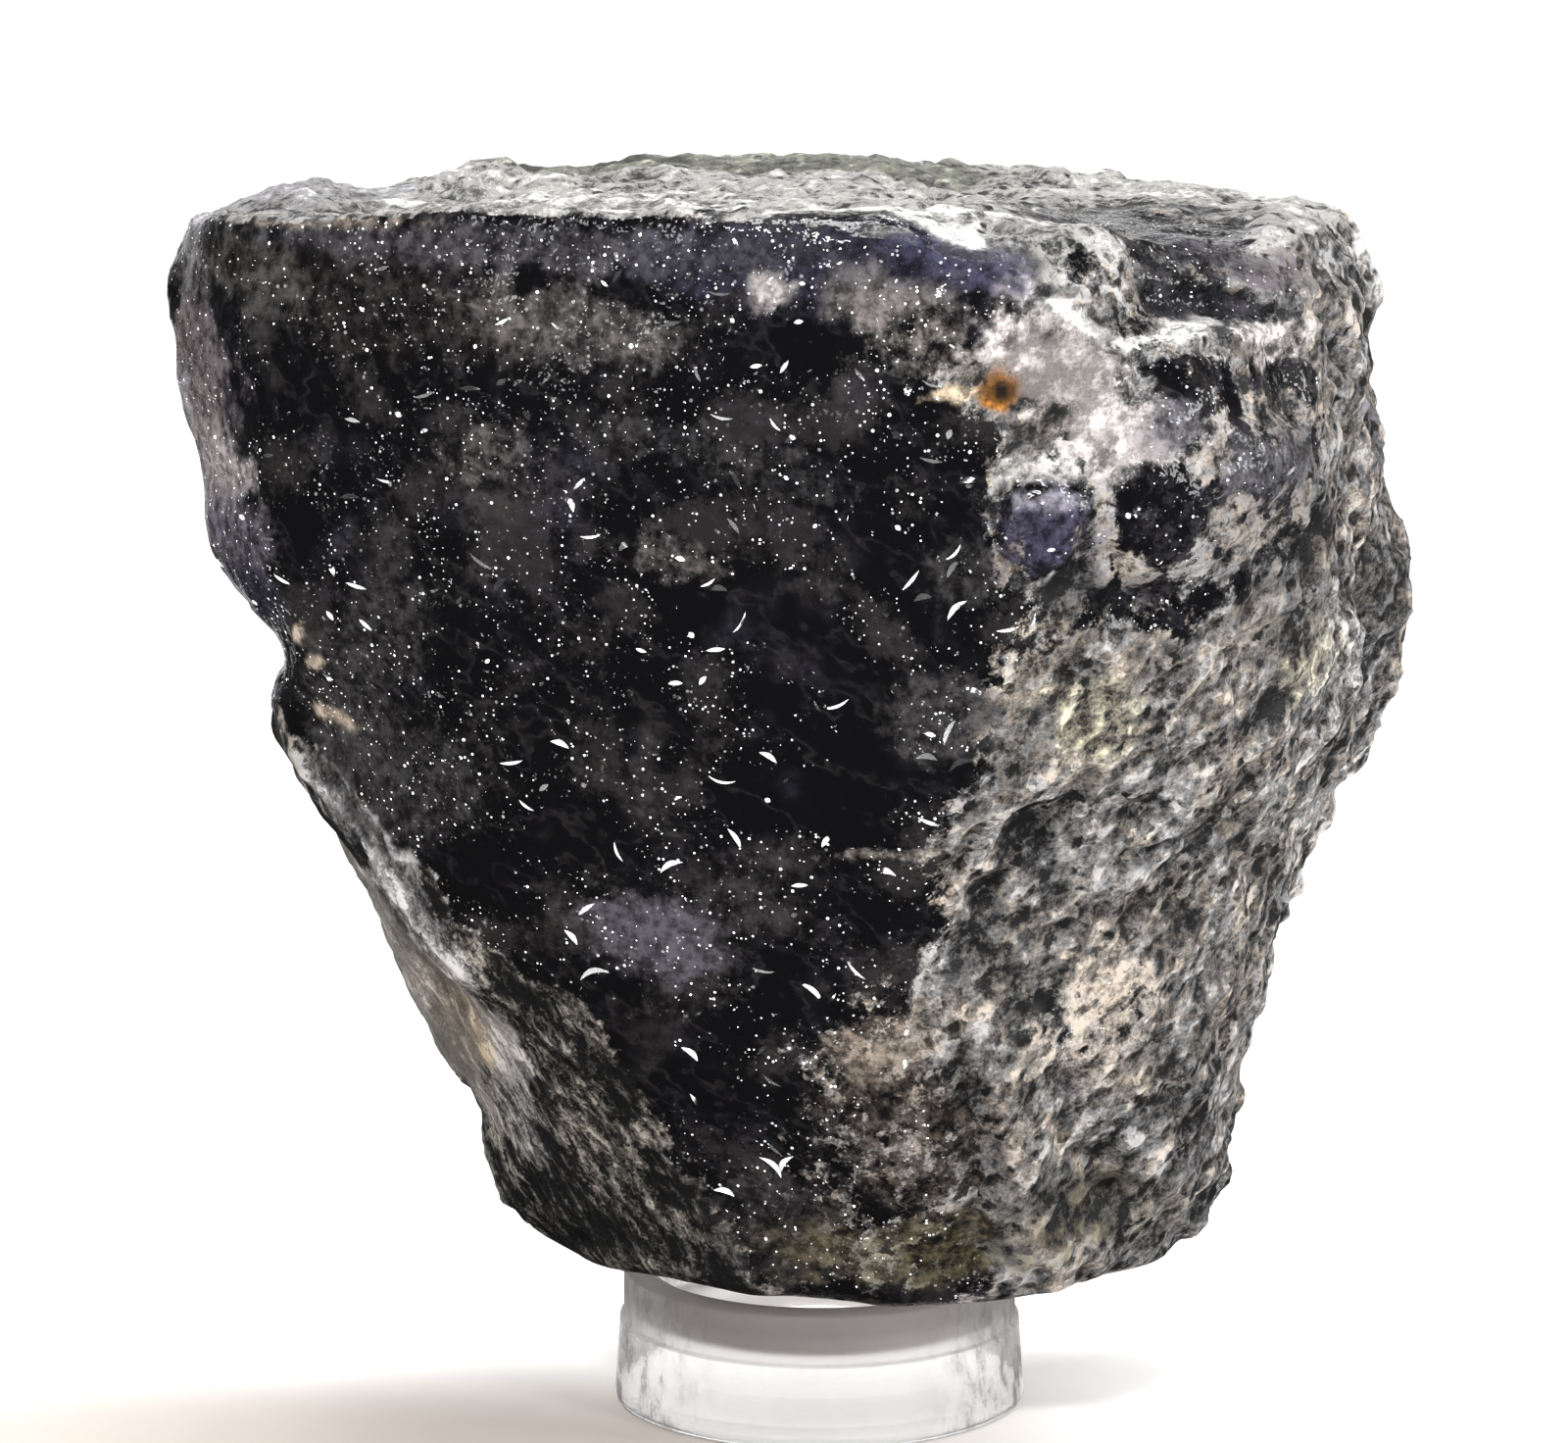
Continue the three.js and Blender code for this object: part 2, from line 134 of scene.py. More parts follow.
# Linear colours of the stone's own zones.
BLACK_GLASS = (0.0042, 0.0040, 0.0048)
VEIL_GREY = (0.038, 0.036, 0.038)
VEIL_VIOLET = (0.027, 0.026, 0.037)
# Dark of the pits and spots: partly their own colour and partly painted shade in pits, hollows and the
# notch.
PIT_AND_SHADE_DARK = (0.011, 0.011, 0.012)
NETWORK_GREY = (0.60, 0.58, 0.56)
NETWORK_BEIGE = (0.66, 0.57, 0.48)
NETWORK_COOL = (0.36, 0.37, 0.39)
FIBRE_DARK = (0.010, 0.010, 0.011)
FIBRE_LIGHT = (0.48, 0.45, 0.40)
# Crust of the top: pale, partly its own colour and partly painted light from above.
TOP_GREY_AND_LIGHT = (0.82, 0.81, 0.77)
# White of the crusts and seams, and painted highlights of the wet patches, rims and ledge.
TOP_WHITE_AND_HIGHLIGHT = (0.92, 0.90, 0.87)

# Linear colours of its patches.
MILKY = (0.150, 0.138, 0.138)
BROWN_TINT = (0.036, 0.031, 0.030)
DEEP_VIOLET = (0.026, 0.025, 0.042)
VIOLET = (0.075, 0.070, 0.120)
VIOLET_GREY = (0.13, 0.12, 0.15)
PINK_GREY = (0.17, 0.145, 0.15)
PINK_WHITE = (0.74, 0.68, 0.665)
BEIGE = (0.50, 0.42, 0.34)
CREAM = (0.62, 0.50, 0.36)
OLIVE = (0.165, 0.143, 0.082)
YELLOW_BEIGE = (0.60, 0.55, 0.40)
RUST = (0.62, 0.25, 0.03)
RUST_CORE = (0.035, 0.013, 0.006)
LILAC = (0.095, 0.088, 0.108)
LILAC_WHITE = (0.42, 0.41, 0.46)
GREENISH = (0.36, 0.365, 0.30)
SMOKE = (0.055, 0.053, 0.056)
# Silvery grey of the lip and its bands: partly their own colour and partly a painted sheen on the
# ridge.
SILVER_AND_SHEEN = (0.55, 0.55, 0.56)
LEFT_MILKY = (0.42, 0.39, 0.40)
OLIVE_GREY = (0.080, 0.078, 0.072)
BROWN_MOTTLE = (0.21, 0.175, 0.145)
BROWN_GREY = (0.36, 0.33, 0.30)
PALE_CRUST = (0.62, 0.60, 0.58)
SMOKY_GREY = (0.135, 0.132, 0.145)
RIM_HAZE = (0.082, 0.079, 0.090)
FACET_GREY = (0.46, 0.43, 0.40)

# For each side of the stone: the two axes that place its patches, and the axis and sign that it faces.
SIDES = {
    "front": (0, 2, 1, -1), "back": (0, 2, 1, 1), "left": (1, 2, 0, -1),
    "right": (1, 2, 0, 1), "top": (0, 1, 2, 1),
}

# Places outside the flat front where the black glassy stone shows: ellipses, placed by the two
# axes of their side. share is how much of the place is glass, with pale network in the rest; below
# 0 it takes that much glass away. lift makes a lump or a hollow of the place, in millimetres.
Glassy = namedtuple("Glassy", "name side place size turn share lift")
GLASSY = [
    Glassy("violet lump", "front", (12.9, 59.2), (3.3, 2.8), 10, 0.95, 0.7),
    Glassy("dark lump", "front", (18.9, 59.8), (2.9, 3.3), 10, 0.9, 1.0),
    Glassy("upper lump", "front", (20.2, 66.5), (2.3, 2.5), -15, 0.9, 0.8),
    Glassy("dark hollow under the ledge", "front", (25.2, 66.4), (3.2, 2.2), -30, 0.95, -0.5),
    Glassy("grey lump", "front", (25.0, 62.4), (3.2, 2.6), -20, 0.8, 0.7),
    Glassy("hollows below the lumps", "front", (19.5, 54.2), (4.5, 1.8), 15, 0.75, -0.4),
    Glassy("black slope under the pools", "front", (18.4, 72.7), (4.8, 0.9), -12, 0.62, -0.1),
    Glassy("wet hollow of the top", "top", (19.5, -10), (8, 11), 0, 0.7, -0.7),
    Glassy("glassy rim of the top", "top", (-1, -24), (9, 1.6), 0, 0.75, 0),
    Glassy("mixed stone above the foot", "front", (3, 19.5), (6.5, 9.5), 0, -0.34, 0),
    Glassy("break of the back", "back", (-12, 54), (11, 8), 25, 0.6, -0.9),
]

# Coloured patches of the stone, in the same way. cover is the share that the colour takes, and
# gloss makes the place wet.
Patch = namedtuple("Patch", "name side place size turn colour cover gloss", defaults=(0,))
PATCHES = [
    Patch("brown tint, upper left", "front", (-25, 70.5), (10, 4.5), -5, BROWN_TINT, 0.4),
    Patch("violet under the rim", "front", (0, 74.0), (12, 2.6), 0, DEEP_VIOLET, 0.62),
    Patch("violet bevel", "front", (8.8, 73.8), (5.6, 1.1), -19, VIOLET, 0.43),
    Patch("milky cloud under the rim", "front", (-13.5, 70.0), (6.5, 2.2), -6, MILKY, 0.5),
    Patch("milky cloud, middle left", "front", (-19.5, 62.4), (3.4, 2.4), 10, MILKY, 0.38),
    Patch("milky cloud, middle", "front", (-8.5, 57), (2.8, 1.7), -30, MILKY, 0.42),
    Patch("smoky veil", "front", (-6, 63), (8, 1.5), -12, SMOKE, 0.4),
    Patch("smoky veil, left", "front", (-27, 49), (3.5, 7), -20, SMOKE, 0.45),
    Patch("smoky veil over the lip", "front", (-26, 41.5), (5, 4.5), -30, SMOKE, 0.5),
    Patch("haze round the lilac patch", "front", (-9, 33.5), (7, 4), -8, SMOKE, 0.28),
    Patch("dark stone right of the lumps", "front", (26, 56.5), (5, 7), 0, PIT_AND_SHADE_DARK, 0.22),
    Patch("smoky hollow", "front", (8.3, 57), (3, 2.2), 20, SMOKE, 0.45),
    Patch("brown grey edge of the rim", "front", (5, 70.5), (4.5, 2.8), -25, BROWN_GREY, 0.3),
    Patch("pink white zone", "front", (13.2, 68.4), (4.8, 2.9), -20, PINK_WHITE, 0.86),
    Patch("white seam under it", "front", (15.6, 65.2), (3.2, 2.2), -15, PINK_WHITE, 0.85),
    Patch("pale web over the violet lump", "front", (13, 62.6), (3.4, 0.8), 0, PALE_CRUST, 0.6, 0.3),
    Patch("white seam beside the bevel", "front", (14.9, 70.8), (3.4, 0.6), -32, TOP_WHITE_AND_HIGHLIGHT, 0.7, 0.5),
    Patch("smoky base of the upper lump", "front", (19.8, 64.6), (2.2, 1.4), 0, SMOKY_GREY, 0.6, 0.8),
    Patch("dark damp stone by the pools", "front", (21.5, 72.8), (5, 1.5), -8, SMOKE, 0.3, 0.75),
    # Painted shadow in the notch under the overhanging top.
    Patch("dark of the notch", "front", (22, 71.1), (2.8, 0.7), -10, PIT_AND_SHADE_DARK, 0.85),
    Patch("haze of the left rim", "front", (-37, 61), (3.4, 9), 0, VIOLET_GREY, 0.35),
    Patch("left rim, pinkish", "front", (-37.8, 65.4), (2.4, 4.4), 5, PINK_GREY, 0.6),
    Patch("left rim, lavender", "front", (-38.6, 63), (0.7, 2.2), 10, LILAC_WHITE, 0.6),
    Patch("left rim, milky", "front", (-36.2, 59.2), (2.4, 2.6), 40, LEFT_MILKY, 0.7),
    Patch("left rim, violet grey", "front", (-34.6, 55.6), (2.6, 3), 5, VIOLET_GREY, 0.5),
    Patch("left rim, olive corner", "front", (-38.5, 71.5), (2.6, 2.4), 0, OLIVE_GREY, 0.55),
    Patch("smoky left corner", "front", (-34, 72), (4.5, 2.8), -25, OLIVE_GREY, 0.42),
    Patch("smoky haze under the rim", "front", (-17, 74.4), (15, 1.4), 1, RIM_HAZE, 0.5),
    Patch("left step, violet", "front", (-34.5, 51.5), (2.4, 2), -45, DEEP_VIOLET, 0.8),
    Patch("lilac patch", "front", (-9.6, 33.4), (4.2, 2.2), -8, LILAC, 0.75),
    Patch("grey haze at the ridge", "front", (6.8, 47.5), (3.4, 3), 0, SMOKE, 0.6),
    Patch("beige mottling, low", "front", (4.5, 27.8), (4.8, 2.0), 24, BEIGE, 0.3),
    Patch("brown mottling above the foot", "front", (5, 20.5), (6, 6), 0, BROWN_MOTTLE, 0.3),
    Patch("smoky stone left of the foot", "front", (-3, 15), (4, 4.5), 0, SMOKE, 0.4),
    Patch("pale line over the hollow", "front", (3.6, 39.3), (3.8, 0.4), 6, BROWN_GREY, 0.45),
    Patch("olive foot", "front", (6, 13), (8, 2.6), 3, OLIVE, 0.4),
    Patch("olive foot, right", "front", (16.6, 15.4), (3.2, 3), 10, OLIVE, 0.5),
    Patch("violet of the lump", "front", (12.8, 59.0), (2.9, 2.5), 0, VIOLET, 0.5, 0.8),
    Patch("pale crest of the violet lump", "front", (13.0, 60.9), (2.6, 0.6), 0, LILAC_WHITE, 0.4, 0.8),
    Patch("grey of the grey lump", "front", (25.2, 62.2), (2.8, 2.4), 0, SMOKY_GREY, 0.42, 0.6),
    Patch("pinkish end of the ledge", "front", (27, 68.3), (1.8, 1.3), 5, PINK_WHITE, 0.6),
    # Painted shade in the hollow below the lumps.
    Patch("dark hollow in the middle", "front", (16, 54.5), (3.4, 2), 20, PIT_AND_SHADE_DARK, 0.35),
    Patch("yellow patch", "front", (15.5, 48), (3.2, 3), -30, YELLOW_BEIGE, 0.5),
    Patch("yellow patch, far right", "front", (29, 48.5), (3, 1.6), 20, YELLOW_BEIGE, 0.45),
    Patch("beige stone, lower right", "front", (17, 27.5), (5, 6), 40, BEIGE, 0.35),
    Patch("rust tail", "front", (7.4, 66.8), (1.9, 0.5), 4, CREAM, 0.7),
    Patch("rust ring", "front", (10.1, 66.9), (1.2, 1.2), 0, RUST, 0.95),
    Patch("rust core", "front", (10.2, 66.9), (0.75, 0.7), 0, RUST_CORE, 1),
    Patch("pale grain", "front", (-3.1, 72.3), (1.2, 0.9), 0, PINK_WHITE, 0.45),
    Patch("round pale grain", "front", (2.7, 71.5), (1.1, 1.2), 0, PINK_GREY, 0.55),
    Patch("beige fleck", "front", (-29.2, 45), (1.2, 0.5), -10, BEIGE, 0.8),
    Patch("beige fleck above it", "front", (-31.2, 50.2), (0.4, 1.0), -20, BEIGE, 0.7),
    Patch("beige fleck beside it", "front", (-30.2, 48.3), (0.8, 0.4), 30, BEIGE, 0.7),
    # The lip and the bands below it are silvery streaks, partly a painted sheen of the ridge.
    Patch("pale lip", "front", (-28.6, 39.2), (4.4, 1.2), -44, SILVER_AND_SHEEN, 0.62),
    Patch("silver band under the lip", "front", (-22.6, 29.6), (9, 1.7), -60, SILVER_AND_SHEEN, 0.55),
    Patch("silver band, lower", "front", (-18.6, 21), (6, 1.4), -76, SILVER_AND_SHEEN, 0.35),
    Patch("brown grey facet", "left", (-2.5, 29), (7, 11), 0, FACET_GREY, 0.85),
    Patch("dark line beside the facet", "front", (-22.8, 27.6), (7, 0.6), -62, PIT_AND_SHADE_DARK, 0.5),
    Patch("ochre spots beside the facet", "front", (-20.6, 24.6), (2.4, 0.5), -70, CREAM, 0.45),
    Patch("ochre crust on the left rim", "front", (-30, 75.1), (6.0, 0.45), 4, BEIGE, 0.35),
    Patch("lilac left end of the top", "top", (-31, 0), (9, 8), 0, LILAC_WHITE, 0.5),
    # The white band is partly pale crust and partly a painted highlight of the wet front of the top.
    Patch("white band of the top", "top", (-17, -8), (13, 5), -25, TOP_WHITE_AND_HIGHLIGHT, 0.72),
    Patch("greenish back crest", "top", (-8, 15), (18, 7), -6, GREENISH, 0.6),
    Patch("dark spots of the crest", "top", (-13, 14), (6, 2), 0, PIT_AND_SHADE_DARK, 0.42),
    Patch("white crust by the bevel", "top", (9, -19), (5, 2.4), 30, TOP_WHITE_AND_HIGHLIGHT, 0.4),
    Patch("smoky film of the hollow", "top", (20, -8), (9, 11), 0, SMOKE, 0.4),
    Patch("violet film of the hollow", "top", (24, -13), (4, 4), 0, VIOLET_GREY, 0.28, 0.7),
    Patch("pinkish stone by the notch", "front", (26.8, 71.6), (2.4, 1.1), -12, PINK_GREY, 0.42, 0.7),
    # Painted highlight: white that stands in for the reflection of the wet patch.
    Patch("white wet patch", "top", (7.2, -23), (2.0, 0.9), -10, TOP_WHITE_AND_HIGHLIGHT, 0.8, 1),
    Patch("pale right rim", "top", (31.5, 2), (2.2, 8), 0, PALE_CRUST, 0.25),
    # Painted highlights: the white of the wet rim and of the wet ledge stands in for reflections of the
    # film.
    Patch("wet front rim of the top", "top", (-4, -19), (14, 3), -12, TOP_WHITE_AND_HIGHLIGHT, 0.15, 0.5),
    Patch("wet ledge", "front", (20.7, 69.9), (2.3, 0.7), 10, TOP_WHITE_AND_HIGHLIGHT, 0.72, 0.7),
    Patch("wet ledge, right", "front", (25.0, 69.2), (2.0, 0.5), -12, PINK_WHITE, 0.66, 0.7),
    Patch("wet stone, lower right", "front", (16, 28), (5, 3), 30, BEIGE, 0.1, 0.6),
    Patch("damp upper right", "front", (21, 63), (10, 8), 0, VIOLET_GREY, 0.1, 0.55),
    Patch("beige band, back", "back", (6, 50), (16, 5), -38, BEIGE, 0.35),
    Patch("rust stain, back", "back", (15, 44), (3, 1.6), -30, RUST, 0.22),
    Patch("pale seam, back", "back", (-4, 41), (17, 1.3), 40, TOP_WHITE_AND_HIGHLIGHT, 0.3),
    Patch("greenish crust, back", "back", (-20, 34), (7, 8), 0, GREENISH, 0.4),
    Patch("smoky corner, back", "back", (27, 50), (6, 12), 0, SMOKE, 0.35),
    Patch("olive foot, back", "back", (0, 13), (14, 3), 0, OLIVE, 0.45),
    Patch("milky veil of the break", "back", (-15, 57), (6, 4), 20, MILKY, 0.35),
    Patch("violet of the break", "back", (-8, 52), (5, 4), 0, VIOLET, 0.4),
    Patch("beige of the right side", "right", (10, 44), (6, 10), 20, BEIGE, 0.3),
    Patch("violet of the right side", "right", (1, 60), (4, 4), 0, VIOLET, 0.4),
    Patch("pale crust of the right side", "right", (-8, 48), (4, 6), 0, PALE_CRUST, 0.4),
    Patch("pinkish veil of the left side", "left", (2, 62), (5, 8), 0, PINK_GREY, 0.35),
    Patch("ochre spots of the left side", "left", (-6, 26), (2.4, 5), 20, CREAM, 0.3),
]

# Ridges, gullies and cracks of the rough faces, as paths over the two axes of their side.
# width is from the middle to the edge, lift is how far it stands out, and tone makes it paler.
# The tone is painted light on the ridges, ribs, bumps, the ledge and the lip, and painted shade in the
# gullies, hollows, dips and the notch; it is darker along the cracks, and the webs and seams are paler
# in their own colour.
Line = namedtuple("Line", "name side path width lift tone")
LINES = [
    Line("diagonal ridge", "front", [(5.9, 30.8), (6.6, 34), (9.2, 40), (12.6, 43.8), (19, 46.6)],
         0.9, 0.3, 0.8),
    Line("gully beside it", "front", [(8, 31.5), (9.4, 35.6), (12, 40), (15, 42)], 1.1, -0.4, -0.9),
    Line("lower ridge", "front", [(9.4, 27.6), (10.2, 23.2), (11.8, 19), (12.6, 16), (12, 11)],
         1.3, 0.4, 0.9),
    Line("gully left of it", "front", [(8.3, 27), (8.6, 22), (9.2, 17), (9.8, 13)],
         1.0, -0.4, -0.9),
    Line("hollow right of it", "front", [(14.6, 24), (16.0, 19), (17, 14)], 1.8, -0.4, -0.5),
    Line("ridge right of the lumps", "front", [(24, 60), (22.4, 56), (20, 53), (17, 49.5)],
         0.8, 0.3, 0.6),
    Line("ridge over the dark band", "front", [(20, 50.6), (25, 52.6), (31, 53.6)], 1.0, 0.4, 0.5),
    Line("dark band", "front", [(22, 55), (26, 56.4), (31, 57)], 1.3, -0.4, -0.8),
    Line("middle seam", "front", [(12, 33), (16, 37.2), (21, 41), (27, 45)], 0.7, 0.2, 0.5),
    Line("middle gully", "front", [(14, 31), (18, 35), (23, 38.6)], 1.1, -0.3, -0.5),
    Line("low seam", "front", [(15, 22), (18.6, 26.6), (22, 32)], 0.7, 0.2, 0.5),
    Line("left lip", "front", [(-31.7, 42), (-30, 40.2), (-27.6, 38), (-24.2, 33), (-21.5, 29.8)],
         0.5, 0.3, 1.8),
    Line("streaks under the lip", "front", [(-27, 36), (-23, 30), (-19.8, 24), (-17.4, 16)],
         2.2, 0.1, 0.8),
    Line("web over the violet lump", "front", [(9, 61), (11, 62.8), (14, 62.9), (16, 61.6)],
         0.8, 0.2, 1),
    Line("web between the lumps", "front", [(15.9, 56), (15.8, 58.6), (16.1, 61.3), (16.6, 63.6)],
         0.7, 0.1, 1),
    Line("web right of the lumps", "front", [(17, 63.8), (21.6, 62.9), (22.0, 59.8), (21.2, 56)],
         0.7, 0.1, 1),
    Line("web of the upper lump", "front", [(22, 62.8), (23.0, 65.4), (22.9, 68)], 0.6, 0.2, 0.8),
    Line("web down the right", "front", [(27.4, 68), (28.6, 64), (28.4, 58)], 0.6, 0.3, 0.8),
    # The ledge is paler by a painted highlight of its wet line.
    Line("ledge", "front", [(16, 68.4), (21, 69.4), (26, 69)], 0.7, 0.4, 0.3),
    # The notch is darkened by painted shadow under the overhanging top.
    Line("notch above it", "front", [(19.4, 71.4), (22, 71.2), (24.6, 70.7)], 1.1, -0.7, -2),
    Line("long crack, back", "back", [(-30, 66), (-18, 47), (-4, 38), (8, 24), (12, 12)],
         1.4, -1.0, -0.5),
    Line("rib beside it", "back", [(-27, 69), (-15, 50.5), (-1, 41), (11, 27)], 2.6, 0.8, 0.5),
    Line("short crack, back", "back", [(28, 70), (18, 55), (16, 44)], 1.2, -0.8, -0.4),
    Line("rib across the back", "back", [(-32, 50), (-20, 60), (0, 66), (20, 72)], 3.0, 0.9, 0.4),
    Line("low rib, back", "back", [(-20, 24), (-4, 30), (14, 42), (28, 48)], 2.4, 0.7, 0.4),
    Line("crack of the right side", "right", [(-12, 70), (-2, 48), (4, 28), (2, 12)],
         1.4, -0.9, -0.4),
    Line("rib of the right side", "right", [(-8, 70), (2, 50), (8, 30)], 2.4, 0.7, 0.4),
    Line("crack of the left side", "left", [(6, 70), (0, 54), (3, 40)], 1.2, -0.6, -0.4),
    Line("bump of the left end", "top", [(-31.5, -4), (-31, 12)], 3.4, 0.6, 0.2),
    Line("bump of the crest", "top", [(-21.5, 0), (-20.8, 16)], 3.2, 0.8, 0.2),
    Line("dip of the crest", "top", [(-14.5, 4), (-14, 18)], 3.0, -0.5, -0.2),
    Line("rib of the top", "top", [(-30, 4), (-16, 2), (-2, 6), (12, 4)], 2.6, 0.4, 0.4),
    Line("hollow of the top", "top", [(-26, -4), (-10, -3), (4, -6)], 2.6, -0.6, -0.4),
    Line("crack of the top", "top", [(4, 12), (8, 0), (6, -14)], 0.9, -0.6, -1),
]

# Right edge of the glassy front, as (height, x) from the top down, and its fade, half as wide.
GLASS_EDGE = [
    (77, 10), (73, 12), (71, 11), (68, 7.5), (66, 8.5), (63.5, 10), (60, 9.5), (56.5, 10.5),
    (54, 13), (51, 10.5), (48, 9.5), (43, 8), (40, 7.5), (37, 7.8), (33, 6.3), (30.5, 5.6), (28, 6),
    (24, 8.2), (18, 9), (8, 9.5),
]
GLASS_FADE = [(77, 2), (60, 2), (50, 3), (34, 1.5), (27, 3), (8, 3)]
# Upper edge of the fibrous stone at the lower left, as (x, height).
FIBRE_EDGE = [
    (-34, 45), (-31, 42.6), (-29.2, 41.2), (-26, 38.2), (-22.3, 33.8), (-19.7, 31.6), (-14.7, 29),
    (-11.6, 24.5), (-8.7, 19), (-6.3, 15), (-4.6, 11), (0, 5),
]
# How far back the dark glassy stone reaches, as (x, y).
GLASS_DEPTH = [(-40, 9), (-30, 6), (-24, 0), (0, -1), (40, -1)]
# How strongly noise bends these edges, and between which heights the crust of the top sets in.
EDGE_WARP = 1.6
TOP_HEIGHTS = (70.5, 72.5)


# Noise on arrays of points, in millimetres

def cell_random(cells, seed):
    """Random numbers from 0 to 1 for whole-number cells, the same on every run."""
    # The large factors only scramble the bits.
    grid = cells.astype(np.int64).astype(np.uint32)
    value = grid[..., 0] * np.uint32(374761393) + grid[..., 1] * np.uint32(668265263)
    value = value + grid[..., 2] * np.uint32(2246822519) + np.uint32(seed * 7919 + 101)
    value = (value ^ (value >> np.uint32(13))) * np.uint32(1274126177)
    value = (value ^ (value >> np.uint32(16))) * np.uint32(2654435761)
    return ((value >> np.uint32(8)) & np.uint32(0xFFFF)) / 65535.0


def smooth_noise(points, size, seed=0):
    """Soft noise from -1 to 1 whose lumps are about size wide."""
    scaled = points / size
    base = np.floor(scaled)
    part = scaled - base
    ease = part * part * part * (part * (part * 6 - 15) + 10)
    total = np.zeros(len(points))
    for corner in np.ndindex(2, 2, 2):
        step = np.array(corner)
        weight = np.prod(np.where(step == 1, ease, 1 - ease), axis=1)
        offset = part - step
        slopes = [cell_random(base + step, seed + 31 * axis) * 2 - 1 for axis in range(3)]
        total += weight * sum(offset[:, axis] * slopes[axis] for axis in range(3))
    return np.clip(total * 1.6, -1, 1)


def layered_noise(points, size, octaves, seed=0):
    """Soft noise added up in layers, each half as wide as the last one and weaker."""
    total = np.zeros(len(points))
    for octave in range(octaves):
        total += smooth_noise(points, size / 2 ** octave, seed + octave) * 0.55 ** octave
    return total


def noise_vectors(points, size, seeds):
    """Three soft noises at each point."""
    return np.stack([smooth_noise(points, size, seed) for seed in seeds], axis=1)


def cell_noise(points, size, seed=0):
    """Distances to the nearest and second nearest of scattered seeds, in cells, and the nearest
    seed's own random numbers and its offset from the point in millimetres."""
    scaled = points / size
    base = np.floor(scaled)
    first = np.full(len(points), 9.0)
    second = np.full(len(points), 9.0)
    own = np.zeros((len(points), 3))
    away = np.zeros((len(points), 3))
    for corner in np.ndindex(3, 3, 3):
        cell = base + np.array(corner) - 1
        jitter = np.stack([cell_random(cell, seed + axis) for axis in range(3)], axis=1)
        offset = cell + jitter - scaled
        distance = np.linalg.norm(offset, axis=1)
        closer = distance < first
        second = np.where(closer, first, np.minimum(second, distance))
        first = np.where(closer, distance, first)
        own[closer] = np.roll(jitter, 1, axis=1)[closer]
        away[closer] = offset[closer] * size
    return first, second, own, away


def stretched(points, direction, stretch):
    """Points squeezed along a direction, so that noise read there is drawn out along it."""
    axis = np.array(direction) / np.linalg.norm(direction)
    return points - np.outer(points @ axis, axis) * (1 - 1 / stretch)


def step_between(low, high, value):
    """A smooth step from 0 at low to 1 at high."""
    share = np.clip((value - low) / (high - low), 0, 1)
    return share * share * (3 - 2 * share)


# The stone's zones, as smooth masks over its points

def along(edge, value):
    """The second number of an edge's points at a value of their first."""
    firsts, seconds = zip(*sorted(edge))
    return np.interp(value, firsts, seconds)


def facing(normals, side):
    """From 0 to 1: how well each point faces a side."""
    axis, sign = SIDES[side][2:]
    return step_between(0.0, 0.3, normals[:, axis] * sign)


def ellipse_distance(points, spot, fine, wide):
    """Distance of each point from an ellipse's middle: 1 at its edge, which two noises make uneven,
    the fine one most on small ellipses and the wide one on large ones."""
    first, second = SIDES[spot.side][:2]
    across = points[:, first] - spot.place[0]
    up = points[:, second] - spot.place[1]
    cosine = math.cos(math.radians(spot.turn))
    sine = math.sin(math.radians(spot.turn))
    lengthwise = (across * cosine + up * sine) / spot.size[0]
    sideways = (up * cosine - across * sine) / spot.size[1]
    small = min(spot.size)
    fine_share = min(0.45, 0.8 / small)
    wide_share = min(0.5, 0.08 * small)
    return np.hypot(lengthwise, sideways) + fine * fine_share + wide * wide_share


def stone_zones(points, normals, wide):
    """Masks from 0 to 1: the glassy front, the fibrous lower left, the top, and the rest."""
    x, y, z = points.T
    warp = layered_noise(points, 4, 3, seed=5)
    front = step_between(1.5, -1.5, y - along(GLASS_DEPTH, x) + warp)
    front = front * step_between(0.75, 0.45, normals[:, 2])
    fade = along(GLASS_FADE, z)
    glass = front * step_between(fade, -fade, x - along(GLASS_EDGE, z) + EDGE_WARP * warp)
    below = along(FIBRE_EDGE, x) - z + EDGE_WARP * warp
    soft = 0.8 + 3.2 * step_between(32, 24, z)
    fibre = front * step_between(-soft, soft, below) * step_between(3, -3, x)
    glass = glass * (1 - fibre)
    for place in GLASSY:
        inside = step_between(1.45, 0.6, ellipse_distance(points, place, 2.6 * warp, wide))
        inside *= place.share * facing(normals, place.side)
        glass = np.maximum(glass, inside) if place.share > 0 else glass * (1 + inside)
    behind = step_between(2, 8, y) * step_between(0.6, 0.3, normals[:, 2])
    broken_back = 0.66 * step_between(0.3, 0.65, layered_noise(points, 15, 4, seed=60))
    glass = np.maximum(glass, broken_back * behind)
    # Upward faces near the top take the paler crust, partly painted light from above.
    top = step_between(0.45, 0.7, normals[:, 2]) * step_between(*TOP_HEIGHTS, z) * (1 - glass)
    rough = np.clip(1 - glass - fibre - top, 0, 1)
    return {"glass": glass, "fibre": fibre, "top": top, "rough": rough}


# Fine relief of the stone, in millimetres

def pits(points, size, seed):
    """Rounded pits between narrow ridges: 1 at the middle of a pit and 0 on a ridge."""
    nearest, second, own, away = cell_noise(points, size, seed)
    there = step_between(0.35, 0.7, own[:, 0])
    return there * step_between(0.05, 0.6, second - nearest)


def chipped_faces(points, size, tilt, seed):
    """Flat chips, each tilted its own way, which meet in short slopes."""
    nearest, second, own, away = cell_noise(points, size, seed)
    return np.sum(away * (own - 0.5), axis=1) * tilt * step_between(0.0, 0.25, second - nearest)


